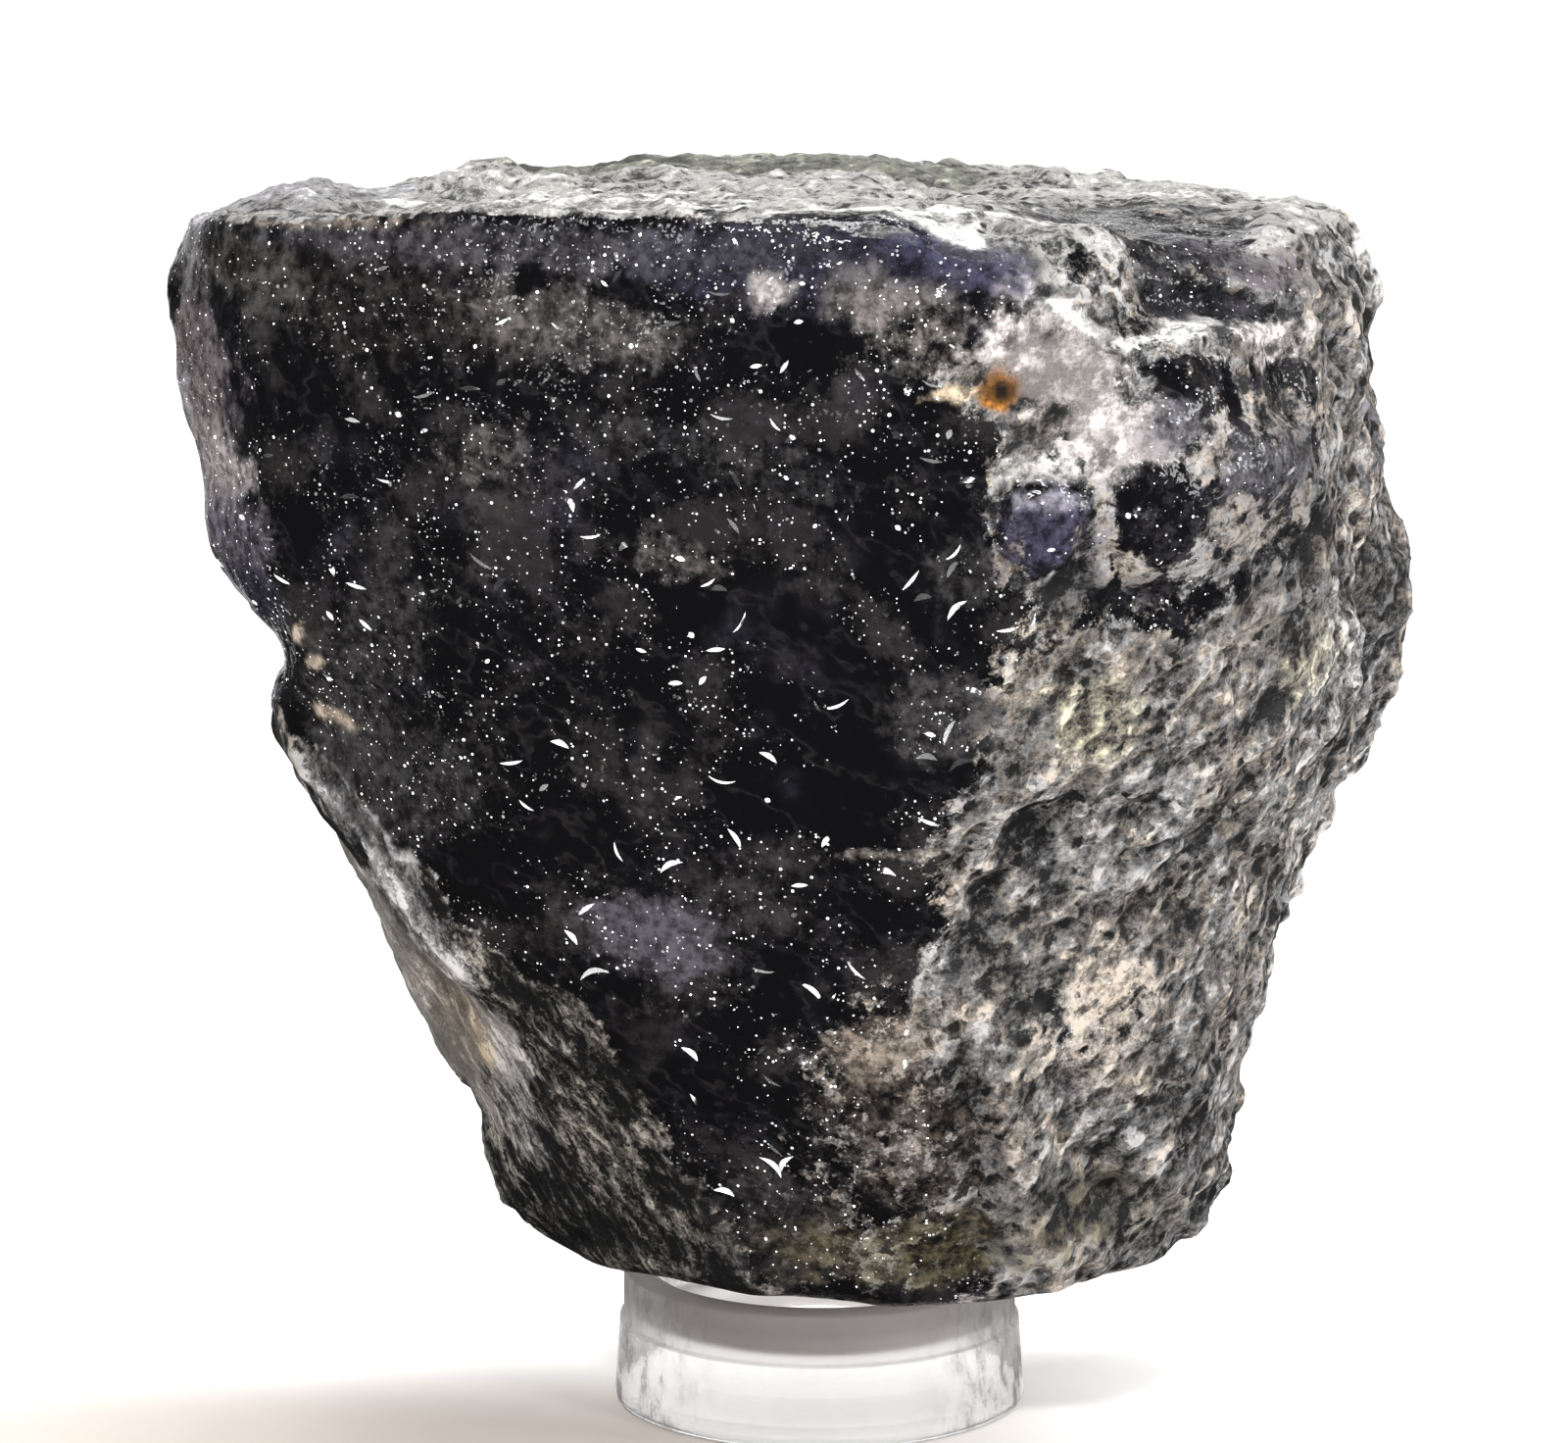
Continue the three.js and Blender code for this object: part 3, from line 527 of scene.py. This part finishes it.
def stone_relief(points, zones):
    """How far each point of the stone moves out, in millimetres."""
    layers = stretched(points, LAYERS, 1.9)
    bend = noise_vectors(points, 2.5, (11, 12, 13)) * 0.8
    pitted = step_between(-0.5, 0.5, smooth_noise(points, 7, 20))
    coarse_pits = pits(layers + bend, COARSE_PIT, 21) * pitted
    small_pits = pits(layers + bend, SMALL_PIT, 22)
    broken = sum(chipped_faces(points + bend, *chips) for chips in CHIPS)
    broken += chipped_faces(points + bend, *BACK_CHIPS) * step_between(1, 8, points[:, 1])
    crests = 0.35 - np.abs(layered_noise(layers, 3.6, 2, 24)) * 1.3
    grain = layered_noise(layers, 1.7, 2, 30)
    rough = broken + 0.5 * crests + 0.22 * grain
    rough = rough - COARSE_PIT_DEPTH * coarse_pits - SMALL_PIT_DEPTH * small_pits
    glass = 0.2 * smooth_noise(points, 5, 25) + 0.1 * smooth_noise(points, 2.2, 26)
    glass = glass + 0.5 * broken * step_between(-30, -34, points[:, 0])
    fibres = stretched(points, FIBRES, 4)
    fibre = 0.2 * layered_noise(fibres, 1.2, 3, 27) + 0.5 * broken
    top = 0.34 * layered_noise(points, 2.6, 4, 28) - 0.3 * coarse_pits + 0.6 * broken
    height = rough * zones["rough"] + glass * zones["glass"]
    height += fibre * zones["fibre"] + top * zones["top"]
    return np.clip(height, -LARGEST_RELIEF, LARGEST_RELIEF)


def line_mask(points, normals, line, warp):
    """How near each point is to a line's path, from 0 at its edge to 1 in its middle."""
    flat = points[:, SIDES[line.side][:2]]
    nearest = np.full(len(points), 99.0)
    for start, end in zip(line.path, line.path[1:]):
        span = np.array(end) - np.array(start)
        offset = flat - np.array(start)
        share = np.clip(offset @ span / (span @ span), 0, 1)
        distance = np.linalg.norm(offset - share[:, None] * span, axis=1)
        nearest = np.minimum(nearest, distance)
    inside = step_between(line.width, 0, nearest + 0.5 * line.width * warp)
    return inside * facing(normals, line.side)


def stone_lines(points, normals, wide):
    """What the lines and the glassy places add to the relief and the tone at each point; the tone is
    mostly painted light on ridges and painted shade in gullies.
    """
    warp = layered_noise(points, 2.2, 2, 46)
    lift = np.zeros(len(points))
    tone = np.zeros(len(points))
    for line in LINES:
        mask = line_mask(points, normals, line, warp)
        lift += line.lift * mask
        tone += line.tone * mask
    for place in GLASSY:
        distance = ellipse_distance(points, place, 0.5 * warp, wide)
        lift += place.lift * np.clip(1.2 - distance ** 2, 0, 1) * facing(normals, place.side)
    return lift, tone


def stone_patches(points, normals, wide):
    """Colour of the patches at each point, the share that they cover, and their gloss."""
    fine = layered_noise(points, 1.8, 3, 44)
    # Both start just above 0, so that the colour can be divided by the cover.
    colour = np.full((len(points), 3), 0.001)
    cover = np.full(len(points), 0.01)
    gloss = np.zeros(len(points))
    for patch in PATCHES:
        distance = ellipse_distance(points, patch, fine, wide)
        faces = facing(normals, patch.side)
        mask = patch.cover * step_between(1.35, 0.65, distance) * faces
        colour = colour * (1 - mask[:, None]) + np.array(patch.colour) * mask[:, None]
        cover = cover * (1 - mask) + mask
        gloss = np.maximum(gloss, patch.gloss * step_between(1.3, 0.8, distance) * faces)
    return colour / cover[:, None], cover, gloss


# Meshes

def add_attribute(mesh, name, values):
    """Stores one number, or one colour, for each vertex."""
    if values.ndim == 1:
        layer = mesh.attributes.new(name, "FLOAT", "POINT")
        layer.data.foreach_set("value", values.astype(np.float32))
    else:
        layer = mesh.attributes.new(name, "FLOAT_COLOR", "POINT")
        colours = np.concatenate([values, np.ones((len(values), 1))], axis=1)
        layer.data.foreach_set("color", colours.astype(np.float32).ravel())


def vertex_vectors(mesh, name):
    """The place ("co") or the normal of each vertex."""
    flat = np.empty(len(mesh.vertices) * 3)
    mesh.vertices.foreach_get(name, flat)
    return flat.reshape(-1, 3)


def finished_mesh(shape, name):
    """Turns an edited shape into a mesh."""
    mesh = bpy.data.meshes.new(name)
    shape.to_mesh(mesh)
    shape.free()
    return mesh


def linked_object(name, data):
    """A new object, put in the scene."""
    piece = bpy.data.objects.new(name, data)
    bpy.context.scene.collection.objects.link(piece)
    return piece


def fine_copy(node, name):
    """A smooth, evenly divided copy of a CAD node's mesh."""
    shape = bmesh.new()
    shape.from_mesh(node.data)
    bmesh.ops.transform(shape, matrix=node.matrix_world, verts=shape.verts)
    bmesh.ops.remove_doubles(shape, verts=shape.verts, dist=MERGE_DISTANCE * MM)
    coarse = linked_object(name + "_coarse", finished_mesh(shape, name + "_coarse"))
    smooth = coarse.modifiers.new("smooth", "SUBSURF")
    smooth.levels = 2
    remesh = coarse.modifiers.new("even", "REMESH")
    remesh.mode = "VOXEL"
    remesh.voxel_size = VOXEL * MM
    relax = coarse.modifiers.new("relax", "SMOOTH")
    relax.iterations = SMOOTHING_STEPS
    relax.factor = SMOOTHING_SHARE
    view = bpy.context.evaluated_depsgraph_get()
    view.update()
    fine = bpy.data.meshes.new_from_object(coarse.evaluated_get(view))
    fine.name = name
    bpy.data.objects.remove(coarse)
    return fine


def make_crystal(node):
    """The stone: a fine copy of its solid, with the relief, and what its material reads."""
    mesh = fine_copy(node, "crystal_surface")
    points = vertex_vectors(mesh, "co") / MM
    normals = vertex_vectors(mesh, "normal")
    wide = layered_noise(points, 8, 2, seed=45)
    zones = stone_zones(points, normals, wide)
    ridges, tone = stone_lines(points, normals, wide)
    colour, cover, gloss = stone_patches(points, normals, wide)
    relief = stone_relief(points, zones)
    seat = step_between(*SEAT_HEIGHTS, points[:, 2])
    moved = points + normals * ((relief + ridges) * seat)[:, None]
    low, high = (np.array(corner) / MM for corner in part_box(node.name))
    mesh.vertices.foreach_set("co", (np.clip(moved, low, high) * MM).ravel())
    add_attribute(mesh, "patch_colour", colour)
    add_attribute(mesh, "patch", cover)
    # The tone is painted light and shade: paler where the relief stands out, darker in its pits and
    # hollows, with the lines' tones added.
    add_attribute(mesh, "tone", np.clip(0.2 * relief + 0.09 * tone, -0.2, 0.2))
    add_attribute(mesh, "broad", noise_vectors(points, 4.5, (51, 52, 53)))
    add_attribute(mesh, "cloud", layered_noise(points, 6, 4, 54))
    add_attribute(mesh, "gloss", np.maximum(zones["glass"], gloss))
    for name in ("glass", "fibre", "top"):
        add_attribute(mesh, name, zones[name])
    mesh.shade_smooth()
    mesh.update()
    return linked_object("crystal_surface", mesh)


def stand_outline(foot, top):
    """Outline of the stand as (radius, height) in millimetres, from its underside to its dish."""
    outline = [(0, 0)]
    outline += [(foot - inset, height) for inset, height in STAND_FOOT + STAND_STEP]
    outline += [(foot - inset, top - depth) for inset, depth in STAND_RIM]
    outline += [(foot - inset, height) for inset, height in STAND_DISH]
    dish_floor = outline[-1][1]
    return outline + [(0, dish_floor)]


def ring(shape, radius, height):
    """Points of a turned shape at one radius and height: a circle of them, or one on the axis."""
    if radius == 0:
        return [shape.verts.new((0, 0, height * MM))]
    turns = [2 * math.pi * segment / STAND_SEGMENTS for segment in range(STAND_SEGMENTS)]
    return [
        shape.verts.new((radius * MM * math.cos(turn), radius * MM * math.sin(turn), height * MM))
        for turn in turns
    ]


def make_stand(node):
    """The stand: its solid's outline with rounder edges, turned about the vertical axis."""
    low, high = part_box(node.name)
    foot = (high[0] - low[0]) / 2 / MM
    shape = bmesh.new()
    rings = [ring(shape, radius, height) for radius, height in stand_outline(foot, high[2] / MM)]
    for lower, upper in zip(rings, rings[1:]):
        for segment in range(STAND_SEGMENTS):
            following = (segment + 1) % STAND_SEGMENTS
            corners = [lower[segment % len(lower)], lower[following % len(lower)],
                       upper[following % len(upper)], upper[segment % len(upper)]]
            shape.faces.new(list(dict.fromkeys(corners)))
    bmesh.ops.recalc_face_normals(shape, faces=shape.faces)
    mesh = finished_mesh(shape, "clear_stand")
    mesh.shade_smooth()
    return linked_object("clear_stand", mesh)


# Materials

class Nodes:
    """A small helper that adds shader nodes to a material or a world and joins them."""

    def __init__(self, owner, shader):
        owner.use_nodes = True
        self.owner = owner
        self.tree = owner.node_tree
        self.shader = self.tree.nodes[shader]

    def parts(self, kind, inputs=(), **settings):
        """Adds a node, and returns all its outputs."""
        node = self.tree.nodes.new(kind)
        for key, value in settings.items():
            setattr(node, key, value)
        for key, value in dict(inputs).items():
            self.plug(node.inputs[key], value)
        return node.outputs

    def add(self, kind, inputs=(), output=0, **settings):
        """Adds a node, and returns one of its outputs."""
        return self.parts(kind, inputs, **settings)[output]

    def plug(self, socket, value):
        """Joins an output to a socket, or sets the socket's value."""
        if isinstance(value, bpy.types.NodeSocket):
            self.tree.links.new(value, socket)
        elif isinstance(value, tuple) and len(value) == 3 and socket.type == "RGBA":
            socket.default_value = (*value, 1)
        else:
            socket.default_value = value

    def set(self, **inputs):
        """Sets or joins inputs of the shader itself."""
        for key, value in inputs.items():
            self.plug(self.shader.inputs[key.replace("_", " ")], value)

    def math(self, operation, a, b=0.0, c=0.0):
        return self.add("ShaderNodeMath", {0: a, 1: b, 2: c}, operation=operation)

    def vector(self, operation, a, b=(0, 0, 0), output=0):
        return self.add("ShaderNodeVectorMath", {0: a, 1: b}, output, operation=operation)

    def scaled(self, vector, scale):
        return self.add("ShaderNodeVectorMath", {0: vector, "Scale": scale}, operation="SCALE")

    def ramp(self, value, low, high, start=0.0, end=1.0):
        """A smooth step from start at low to end at high."""
        inputs = {"Value": value, 1: low, 2: high, 3: start, 4: end}
        return self.add("ShaderNodeMapRange", inputs, interpolation_type="SMOOTHSTEP")

    def mix(self, share, a, b):
        """Mixes two colours."""
        return self.add("ShaderNodeMix", {0: share, 6: a, 7: b}, 2, data_type="RGBA")

    def between(self, share, a, b):
        """Mixes two directions."""
        return self.add("ShaderNodeMix", {0: share, 4: a, 5: b}, 1, data_type="VECTOR")

    def attribute(self, name, output="Fac"):
        return self.add("ShaderNodeAttribute", output=output, attribute_name=name)

    def noise(self, where, size, detail=3.0, roughness=0.6, output=0):
        inputs = {"Vector": where, "Scale": 1 / size, "Detail": detail, "Roughness": roughness}
        return self.add("ShaderNodeTexNoise", inputs, output)

    def cells(self, where, size, **settings):
        return self.parts("ShaderNodeTexVoronoi", {"Vector": where, "Scale": 1 / size}, **settings)

    def colour_parts(self, colour):
        return self.parts("ShaderNodeSeparateColor", {0: colour})

    def vector_parts(self, vector):
        return self.parts("ShaderNodeSeparateXYZ", {0: vector})

    def bump(self, height, distance):
        return self.add("ShaderNodeBump", {"Height": height, "Distance": distance * MM})

    def millimetres(self):
        """Each point's place on its object, in millimetres."""
        return self.scaled(self.add("ShaderNodeTexCoord", output="Object"), 1 / MM)

    def stretched(self, where, direction, stretch):
        """Places squeezed along a direction, so that a texture is drawn out along it."""
        axis = tuple(Vector(direction).normalized())
        dot = self.vector("DOT_PRODUCT", where, axis, output="Value")
        back = self.math("MULTIPLY", dot, -(1 - 1 / stretch))
        return self.vector("ADD", where, self.scaled(axis, back))


def material_nodes(name):
    return Nodes(bpy.data.materials.new(name), "Principled BSDF")


def broken_edge(nodes, mask, noise, depth=0.9):
    """A soft mask turned into one with a crisp, uneven edge."""
    lowered = nodes.math("SUBTRACT", mask, depth / 2)
    return nodes.ramp(nodes.math("MULTIPLY_ADD", noise, depth, lowered), 0.3, 0.7)


def network(nodes, place, fuzz, broad):
    """Noise of the rough faces, and their grains: broken grains along the layers, with pits."""
    layers = nodes.stretched(place, LAYERS, 1.3)
    grains = nodes.cells(nodes.vector("ADD", layers, fuzz), 0.75)
    own = nodes.colour_parts(grains["Color"])
    base = nodes.noise(layers, 1.0, 5.0, 0.82)
    net = nodes.math("MULTIPLY_ADD", own["Red"], 0.16, nodes.math("SUBTRACT", base, 0.08))
    # Some grains darken at their middles: dark pits, partly their own colour and partly painted shade.
    deep = nodes.math("MULTIPLY", nodes.ramp(own["Green"], 0.5, 0.9), -0.2)
    pit = nodes.math("MULTIPLY", nodes.ramp(grains["Distance"], 0.6, 0.1), deep)
    net = nodes.math("ADD", net, nodes.math("MULTIPLY_ADD", broad, 0.09, pit))
    # The tone attribute adds painted shade in the hollows and painted light on the crests of the
    # relief.
    return nodes.math("ADD", nodes.attribute("tone"), net), own["Blue"]


def streaks(nodes, place, fuzz, broad):
    """Noise of the fibrous stone: short, wavy streaks in bundles."""
    fibres = nodes.vector("ADD", nodes.stretched(place, FIBRES, 2.8), fuzz)
    streak = nodes.math("MULTIPLY_ADD", broad, 0.14, nodes.noise(fibres, 0.65, 5.0, 0.78))
    # The tone attribute adds painted shade in the hollows of the fibres and painted light on their
    # crests.
    return nodes.math("ADD", nodes.attribute("tone"), streak)


def network_colour(nodes, net, grain, mottle, broad):
    """Dark pits, partly painted shade, between pale parts, which are grey, beige or a cooler grey."""
    warmth = nodes.ramp(nodes.math("ADD", grain, broad), 0.3, 0.8)
    warm = nodes.mix(warmth, NETWORK_GREY, NETWORK_BEIGE)
    pale = nodes.mix(nodes.ramp(mottle, 0.40, 0.66, 0.0, 0.8), warm, NETWORK_COOL)
    return nodes.mix(nodes.ramp(net, 0.33, 0.70), PIT_AND_SHADE_DARK, pale)


def crust_and_light_colour(nodes, net, mottle):
    """The paler crust of the top, partly its own colour and partly painted light from above, with fewer
    pits.
    """
    pale = nodes.mix(nodes.ramp(mottle, 0.4, 0.6), NETWORK_GREY, TOP_GREY_AND_LIGHT)
    return nodes.mix(nodes.ramp(net, 0.30, 0.53), PIT_AND_SHADE_DARK, pale)


def glass_colour(nodes, place, mottle, broad, cluster):
    """Black violet glass with pale veils inside it: soft clouds, thin wisps along cracks, and
    milky clusters."""
    wisp = nodes.noise(nodes.stretched(place, WISPS, 1.8), 3.6, 3.0, 0.62)
    crack = nodes.math("ABSOLUTE", nodes.math("SUBTRACT", wisp, 0.5))
    wisp = nodes.ramp(crack, 0.035, 0.0, 0.0, 0.35)
    veil = nodes.math("ADD", nodes.ramp(nodes.attribute("cloud"), 0.15, 1.05), wisp)
    veil = nodes.math("MULTIPLY", veil, nodes.ramp(mottle, 0.34, 0.66, 0.25, 1.3))
    tint = nodes.mix(nodes.ramp(broad, -0.2, 0.4), VEIL_GREY, VEIL_VIOLET)
    veiled = nodes.mix(veil, BLACK_GLASS, tint)
    return nodes.mix(nodes.ramp(cluster, 0.1, 0.6, 0.0, 0.12), veiled, MILKY)


def add_patches(nodes, colour, glass, grain):
    """The stone's colour with its patches over it, and their mask. The grain of the stone below
    breaks up their edges and shades them, least of all on glass and where the cover is strong."""
    cover = nodes.attribute("patch")
    share = nodes.math("ADD", cover, nodes.math("SUBTRACT", grain, 0.5))
    patch = nodes.ramp(share, 0.15, 0.85)
    least = nodes.math("MAXIMUM", nodes.ramp(glass, 0, 1, 0.06, 0.38),
                       nodes.ramp(cover, 0.6, 0.9, 0, 0.4))
    shade = nodes.ramp(grain, 0.33, 0.66, least, 1.3)
    shaded = nodes.scaled(nodes.attribute("patch_colour", "Color"), shade)
    return nodes.mix(patch, colour, shaded), patch


def mirror_direction(nodes, colour, spread):
    """A direction that mirrors the main light to the camera, leaning aside by a random colour."""
    lean = nodes.scaled(nodes.vector("SUBTRACT", colour, (0.5, 0.5, 0.5)), spread)
    return nodes.vector("NORMALIZE", nodes.vector("ADD", lean, MIRROR_FACING))


def flakes(nodes, place, share, smooth):
    """Normals of the wet stone: tiny flakes of several sizes in the film, most facing the light."""
    flake = nodes.cells(place, FLAKE_SPACING)
    size = nodes.colour_parts(flake["Color"])["Green"]
    radius = nodes.math("MULTIPLY_ADD", size, 0.36, 0.15)
    spot = nodes.math("LESS_THAN", flake["Distance"], radius)
    spread = nodes.math("MULTIPLY_ADD", nodes.math("MULTIPLY", size, size), 0.5, 0.17)
    mirror = mirror_direction(nodes, flake["Color"], spread)
    return nodes.between(nodes.math("MULTIPLY", spot, share), smooth, mirror)


def ripples(nodes, place, share, smooth):
    """Normals of short, curved ripples of the wet film that mirror the light over the camera."""
    parts = nodes.vector_parts(place)
    flat = nodes.add("ShaderNodeCombineXYZ", {0: parts["X"], 1: parts["Z"]})
    cell = nodes.cells(flat, RIPPLE_SPACING, voronoi_dimensions="2D")
    own = nodes.colour_parts(cell["Color"])
    inputs = {
        "Vector": nodes.vector("SUBTRACT", flat, cell["Position"]),
        "Angle": nodes.math("MULTIPLY_ADD", own["Red"], 2.4, -1.2),
    }
    turned = nodes.add("ShaderNodeVectorRotate", inputs, rotation_type="Z_AXIS")
    local = nodes.vector_parts(turned)
    square = nodes.math("MULTIPLY", local["X"], local["X"])
    bend = nodes.math("MULTIPLY_ADD", own["Green"], 1.0, -0.4)
    across = nodes.math("ABSOLUTE", nodes.math("MULTIPLY_ADD", square, bend, local["Y"]))
    length = nodes.math("MAXIMUM", nodes.math("MULTIPLY_ADD", own["Blue"], 1.3, -0.35), 0.01)
    reach = nodes.math("DIVIDE", square, nodes.math("MULTIPLY", length, length))
    taper = nodes.math("SUBTRACT", 1.0, reach)
    middle = nodes.math("MULTIPLY_ADD", own["Green"], 0.12, 0.07)
    stroke = nodes.math("LESS_THAN", across, nodes.math("MULTIPLY", taper, middle))
    mirror = mirror_direction(nodes, cell["Color"], 0.12)
    return nodes.between(nodes.math("MULTIPLY", stroke, share), smooth, mirror)


def stone_material():
    """The stone: network, top crust partly lit by painted light, fibres and glass, with patches over
    them and a wet film.
    """
    nodes = material_nodes("iolite stone")
    place = nodes.millimetres()
    broad = nodes.colour_parts(nodes.attribute("broad", "Color"))
    mottle = nodes.noise(place, 0.9, 4.0, 0.7)
    fuzz = nodes.scaled(nodes.noise(place, 0.4, 1.0, output="Color"), 0.5)
    net, grain = network(nodes, place, fuzz, broad["Red"])
    streak = streaks(nodes, place, fuzz, broad["Green"])
    cluster = nodes.math("MULTIPLY_ADD", mottle, 1.6, nodes.math("SUBTRACT", broad["Red"], 0.8))
    glass = broken_edge(nodes, nodes.attribute("glass"), nodes.math("SUBTRACT", 1.0, net), 1.5)
    fibrous = broken_edge(nodes, nodes.attribute("fibre"), mottle, 1.2)
    top = broken_edge(nodes, nodes.attribute("top"), mottle)
    gloss = broken_edge(nodes, nodes.attribute("gloss"), mottle, 0.8)

    colour = network_colour(nodes, net, grain, mottle, broad["Blue"])
    colour = nodes.mix(top, colour, crust_and_light_colour(nodes, net, mottle))
    fibres = nodes.mix(nodes.ramp(streak, 0.48, 0.74), FIBRE_DARK, FIBRE_LIGHT)
    colour = nodes.mix(fibrous, colour, fibres)
    colour = nodes.mix(glass, colour, glass_colour(nodes, place, mottle, broad["Green"], cluster))
    rough = nodes.mix(fibrous, net, streak)
    colour, patch = add_patches(nodes, colour, glass, nodes.mix(glass, rough, mottle))

    dry = nodes.bump(nodes.ramp(rough, 0.32, 0.68), 0.42)
    swell = nodes.bump(nodes.noise(place, 1.1, 2.0), 0.2)
    sparkle = nodes.ramp(nodes.math("ADD", cluster, patch), -0.3, 0.0)
    wet = flakes(nodes, place, nodes.math("MULTIPLY", gloss, sparkle), swell)
    rippled = nodes.math("MULTIPLY", gloss, nodes.ramp(broad["Blue"], -0.5, 0.0))
    wet = ripples(nodes, place, rippled, wet)
    nodes.set(Base_Color=colour, Normal=nodes.between(gloss, dry, wet))
    nodes.set(Roughness=nodes.ramp(gloss, 0, 1, DRY_ROUGHNESS, WET_ROUGHNESS))
    nodes.set(IOR=STONE_IOR, Specular_IOR_Level=STONE_SPECULAR)
    return nodes.owner


def acrylic_material():
    """Clear acrylic: a frosted collar, greyer upwards partly by painted shade under the stone, over a
    clear body with grey smears at its sides, partly dirt and partly painted dark edges.
    """
    nodes = material_nodes("clear acrylic")
    place = nodes.millimetres()
    parts = nodes.vector_parts(place)
    collar = nodes.ramp(parts["Z"], *COLLAR_HEIGHTS)
    rim = nodes.ramp(parts["Z"], *RIM_HEIGHTS)
    # Smears at the left and right sides: partly dirt and partly painted dark edges of the clear body.
    sides = nodes.ramp(nodes.math("ABSOLUTE", parts["X"]), *SMEARED_WIDTHS)
    smears = nodes.noise(nodes.stretched(place, (0, 0, 1), 2.0), 1.3, 5.0, 0.75)
    smeared = nodes.math("MULTIPLY_ADD", sides, 0.94, 0.06)
    dirt_and_edge_shade = nodes.math("MULTIPLY", nodes.ramp(smears, 0.42, 0.66), smeared)
    # The collar greys upwards to its rim: partly frosting and partly painted shade under the stone.
    frosted = nodes.mix(nodes.ramp(parts["Z"], *FROSTED_HEIGHTS), FROSTED_LOW, FROSTED_SHADED_HIGH)
    clean = nodes.mix(collar, CLEAR, nodes.mix(rim, frosted, RIM_SHADE))
    frosting = nodes.math("ADD", nodes.ramp(collar, 0, 1, 0.02, 0.5), nodes.ramp(rim, 0, 1, 0, 0.35))
    roughness = nodes.math("MAXIMUM", frosting, nodes.ramp(dirt_and_edge_shade, 0, 1, 0, 0.4))
    nodes.set(Base_Color=nodes.mix(dirt_and_edge_shade, clean, SMEAR_AND_EDGE_GREY), Roughness=roughness)
    nodes.set(IOR=ACRYLIC_IOR, Transmission_Weight=1.0)
    nodes.set(Normal=nodes.bump(nodes.noise(place, 2.5), 0.02))
    return nodes.owner


def floor_material():
    """Pale mottled table, which glows plain white behind the stand, to its right and far in front of
    it: painted light, which to the right of the stand also hides its shadow."""
    nodes = material_nodes("pale table")
    place = nodes.millimetres()
    parts = nodes.vector_parts(place)
    behind = nodes.ramp(parts["Y"], -12, 26)
    in_front = nodes.ramp(parts["Y"], -100, -300)
    right = nodes.ramp(parts["X"], -14, 46)
    # Where far is 1 the table glows: painted light, also to the right of the stand.
    far = nodes.math("MAXIMUM", nodes.math("MAXIMUM", behind, in_front), right)
    mottled = nodes.mix(nodes.noise(place, 14, 3.0), TABLE_DARK, TABLE_LIGHT)
    nodes.set(Base_Color=nodes.mix(far, mottled, TABLE_FAR), Roughness=0.7)
    nodes.set(Emission_Color=(1.0, 1.0, 1.0), Emission_Strength=nodes.ramp(far, 0, 1, 0, TABLE_GLOW))
    return nodes.owner


# Camera, floor and light

def make_camera():
    data = bpy.data.cameras.new("camera")
    data.lens = CAMERA_LENS
    data.sensor_width = SENSOR_WIDTH
    data.clip_start = CAMERA_CLIP
    camera = linked_object("camera", data)
    forward = Vector((0, math.cos(CAMERA_PITCH), -math.sin(CAMERA_PITCH)))
    camera.location = CAMERA_AIM - forward * CAMERA_DISTANCE
    camera.rotation_euler = (math.pi / 2 - CAMERA_PITCH, 0, 0)
    bpy.context.scene.camera = camera


def make_floor():
    """The table, which the wet stone doesn't mirror, so that its lower parts stay dark."""
    shape = bmesh.new()
    bmesh.ops.create_grid(shape, x_segments=2, y_segments=2, size=TABLE_REACH)
    mesh = finished_mesh(shape, "table")
    mesh.materials.append(floor_material())
    table = linked_object("table", mesh)
    table.visible_glossy = False


def area_light(name, place, size, power):
    """A soft light of a width and a height, aimed at the middle of the stone."""
    data = bpy.data.lights.new(name, "AREA")
    data.shape = "RECTANGLE"
    data.size = size[0] * MM
    data.size_y = size[1] * MM
    data.energy = power
    light = linked_object(name, data)
    light.location = Vector(place) * MM
    aim = Vector(LIGHT_AIM) * MM - light.location
    light.rotation_euler = aim.to_track_quat("-Z", "Y").to_euler()


def make_world():
    """White to the camera, through the stand and behind the stone. It is dim to the other rays,
    so the wet face stays dark."""
    nodes = Nodes(bpy.data.worlds.new("studio"), "Background")
    back = nodes.vector_parts(nodes.add("ShaderNodeTexCoord", output="Generated"))["Y"]
    rays = nodes.parts("ShaderNodeLightPath")
    # The white part is narrower for reflections.
    start = nodes.math("MULTIPLY_ADD", rays["Is Glossy Ray"], 0.5, 0.35)
    full = nodes.math("MULTIPLY_ADD", rays["Is Glossy Ray"], 0.09, 0.9)
    level = nodes.ramp(back, start, full, DIM_WORLD, FULL_WORLD)
    seen = nodes.math("MAXIMUM", rays["Is Camera Ray"], rays["Is Transmission Ray"])
    nodes.set(Color=(1.0, 1.0, 1.0), Strength=nodes.math("MAXIMUM", level, seen))
    bpy.context.scene.world = nodes.owner


make_camera()
make_floor()
make_world()
for light_name, (light_place, light_size, light_power) in LIGHTS.items():
    area_light(light_name, light_place, light_size, light_power)

crystal = make_crystal(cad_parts["iolite_crystal"])
crystal.data.materials.append(stone_material())
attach(crystal, BODY)
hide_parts("iolite_crystal")

stand = make_stand(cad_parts["display_stand"])
stand.data.materials.append(acrylic_material())
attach(stand, BODY)
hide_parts("display_stand")

bpy.context.scene.view_settings.view_transform = "Standard"
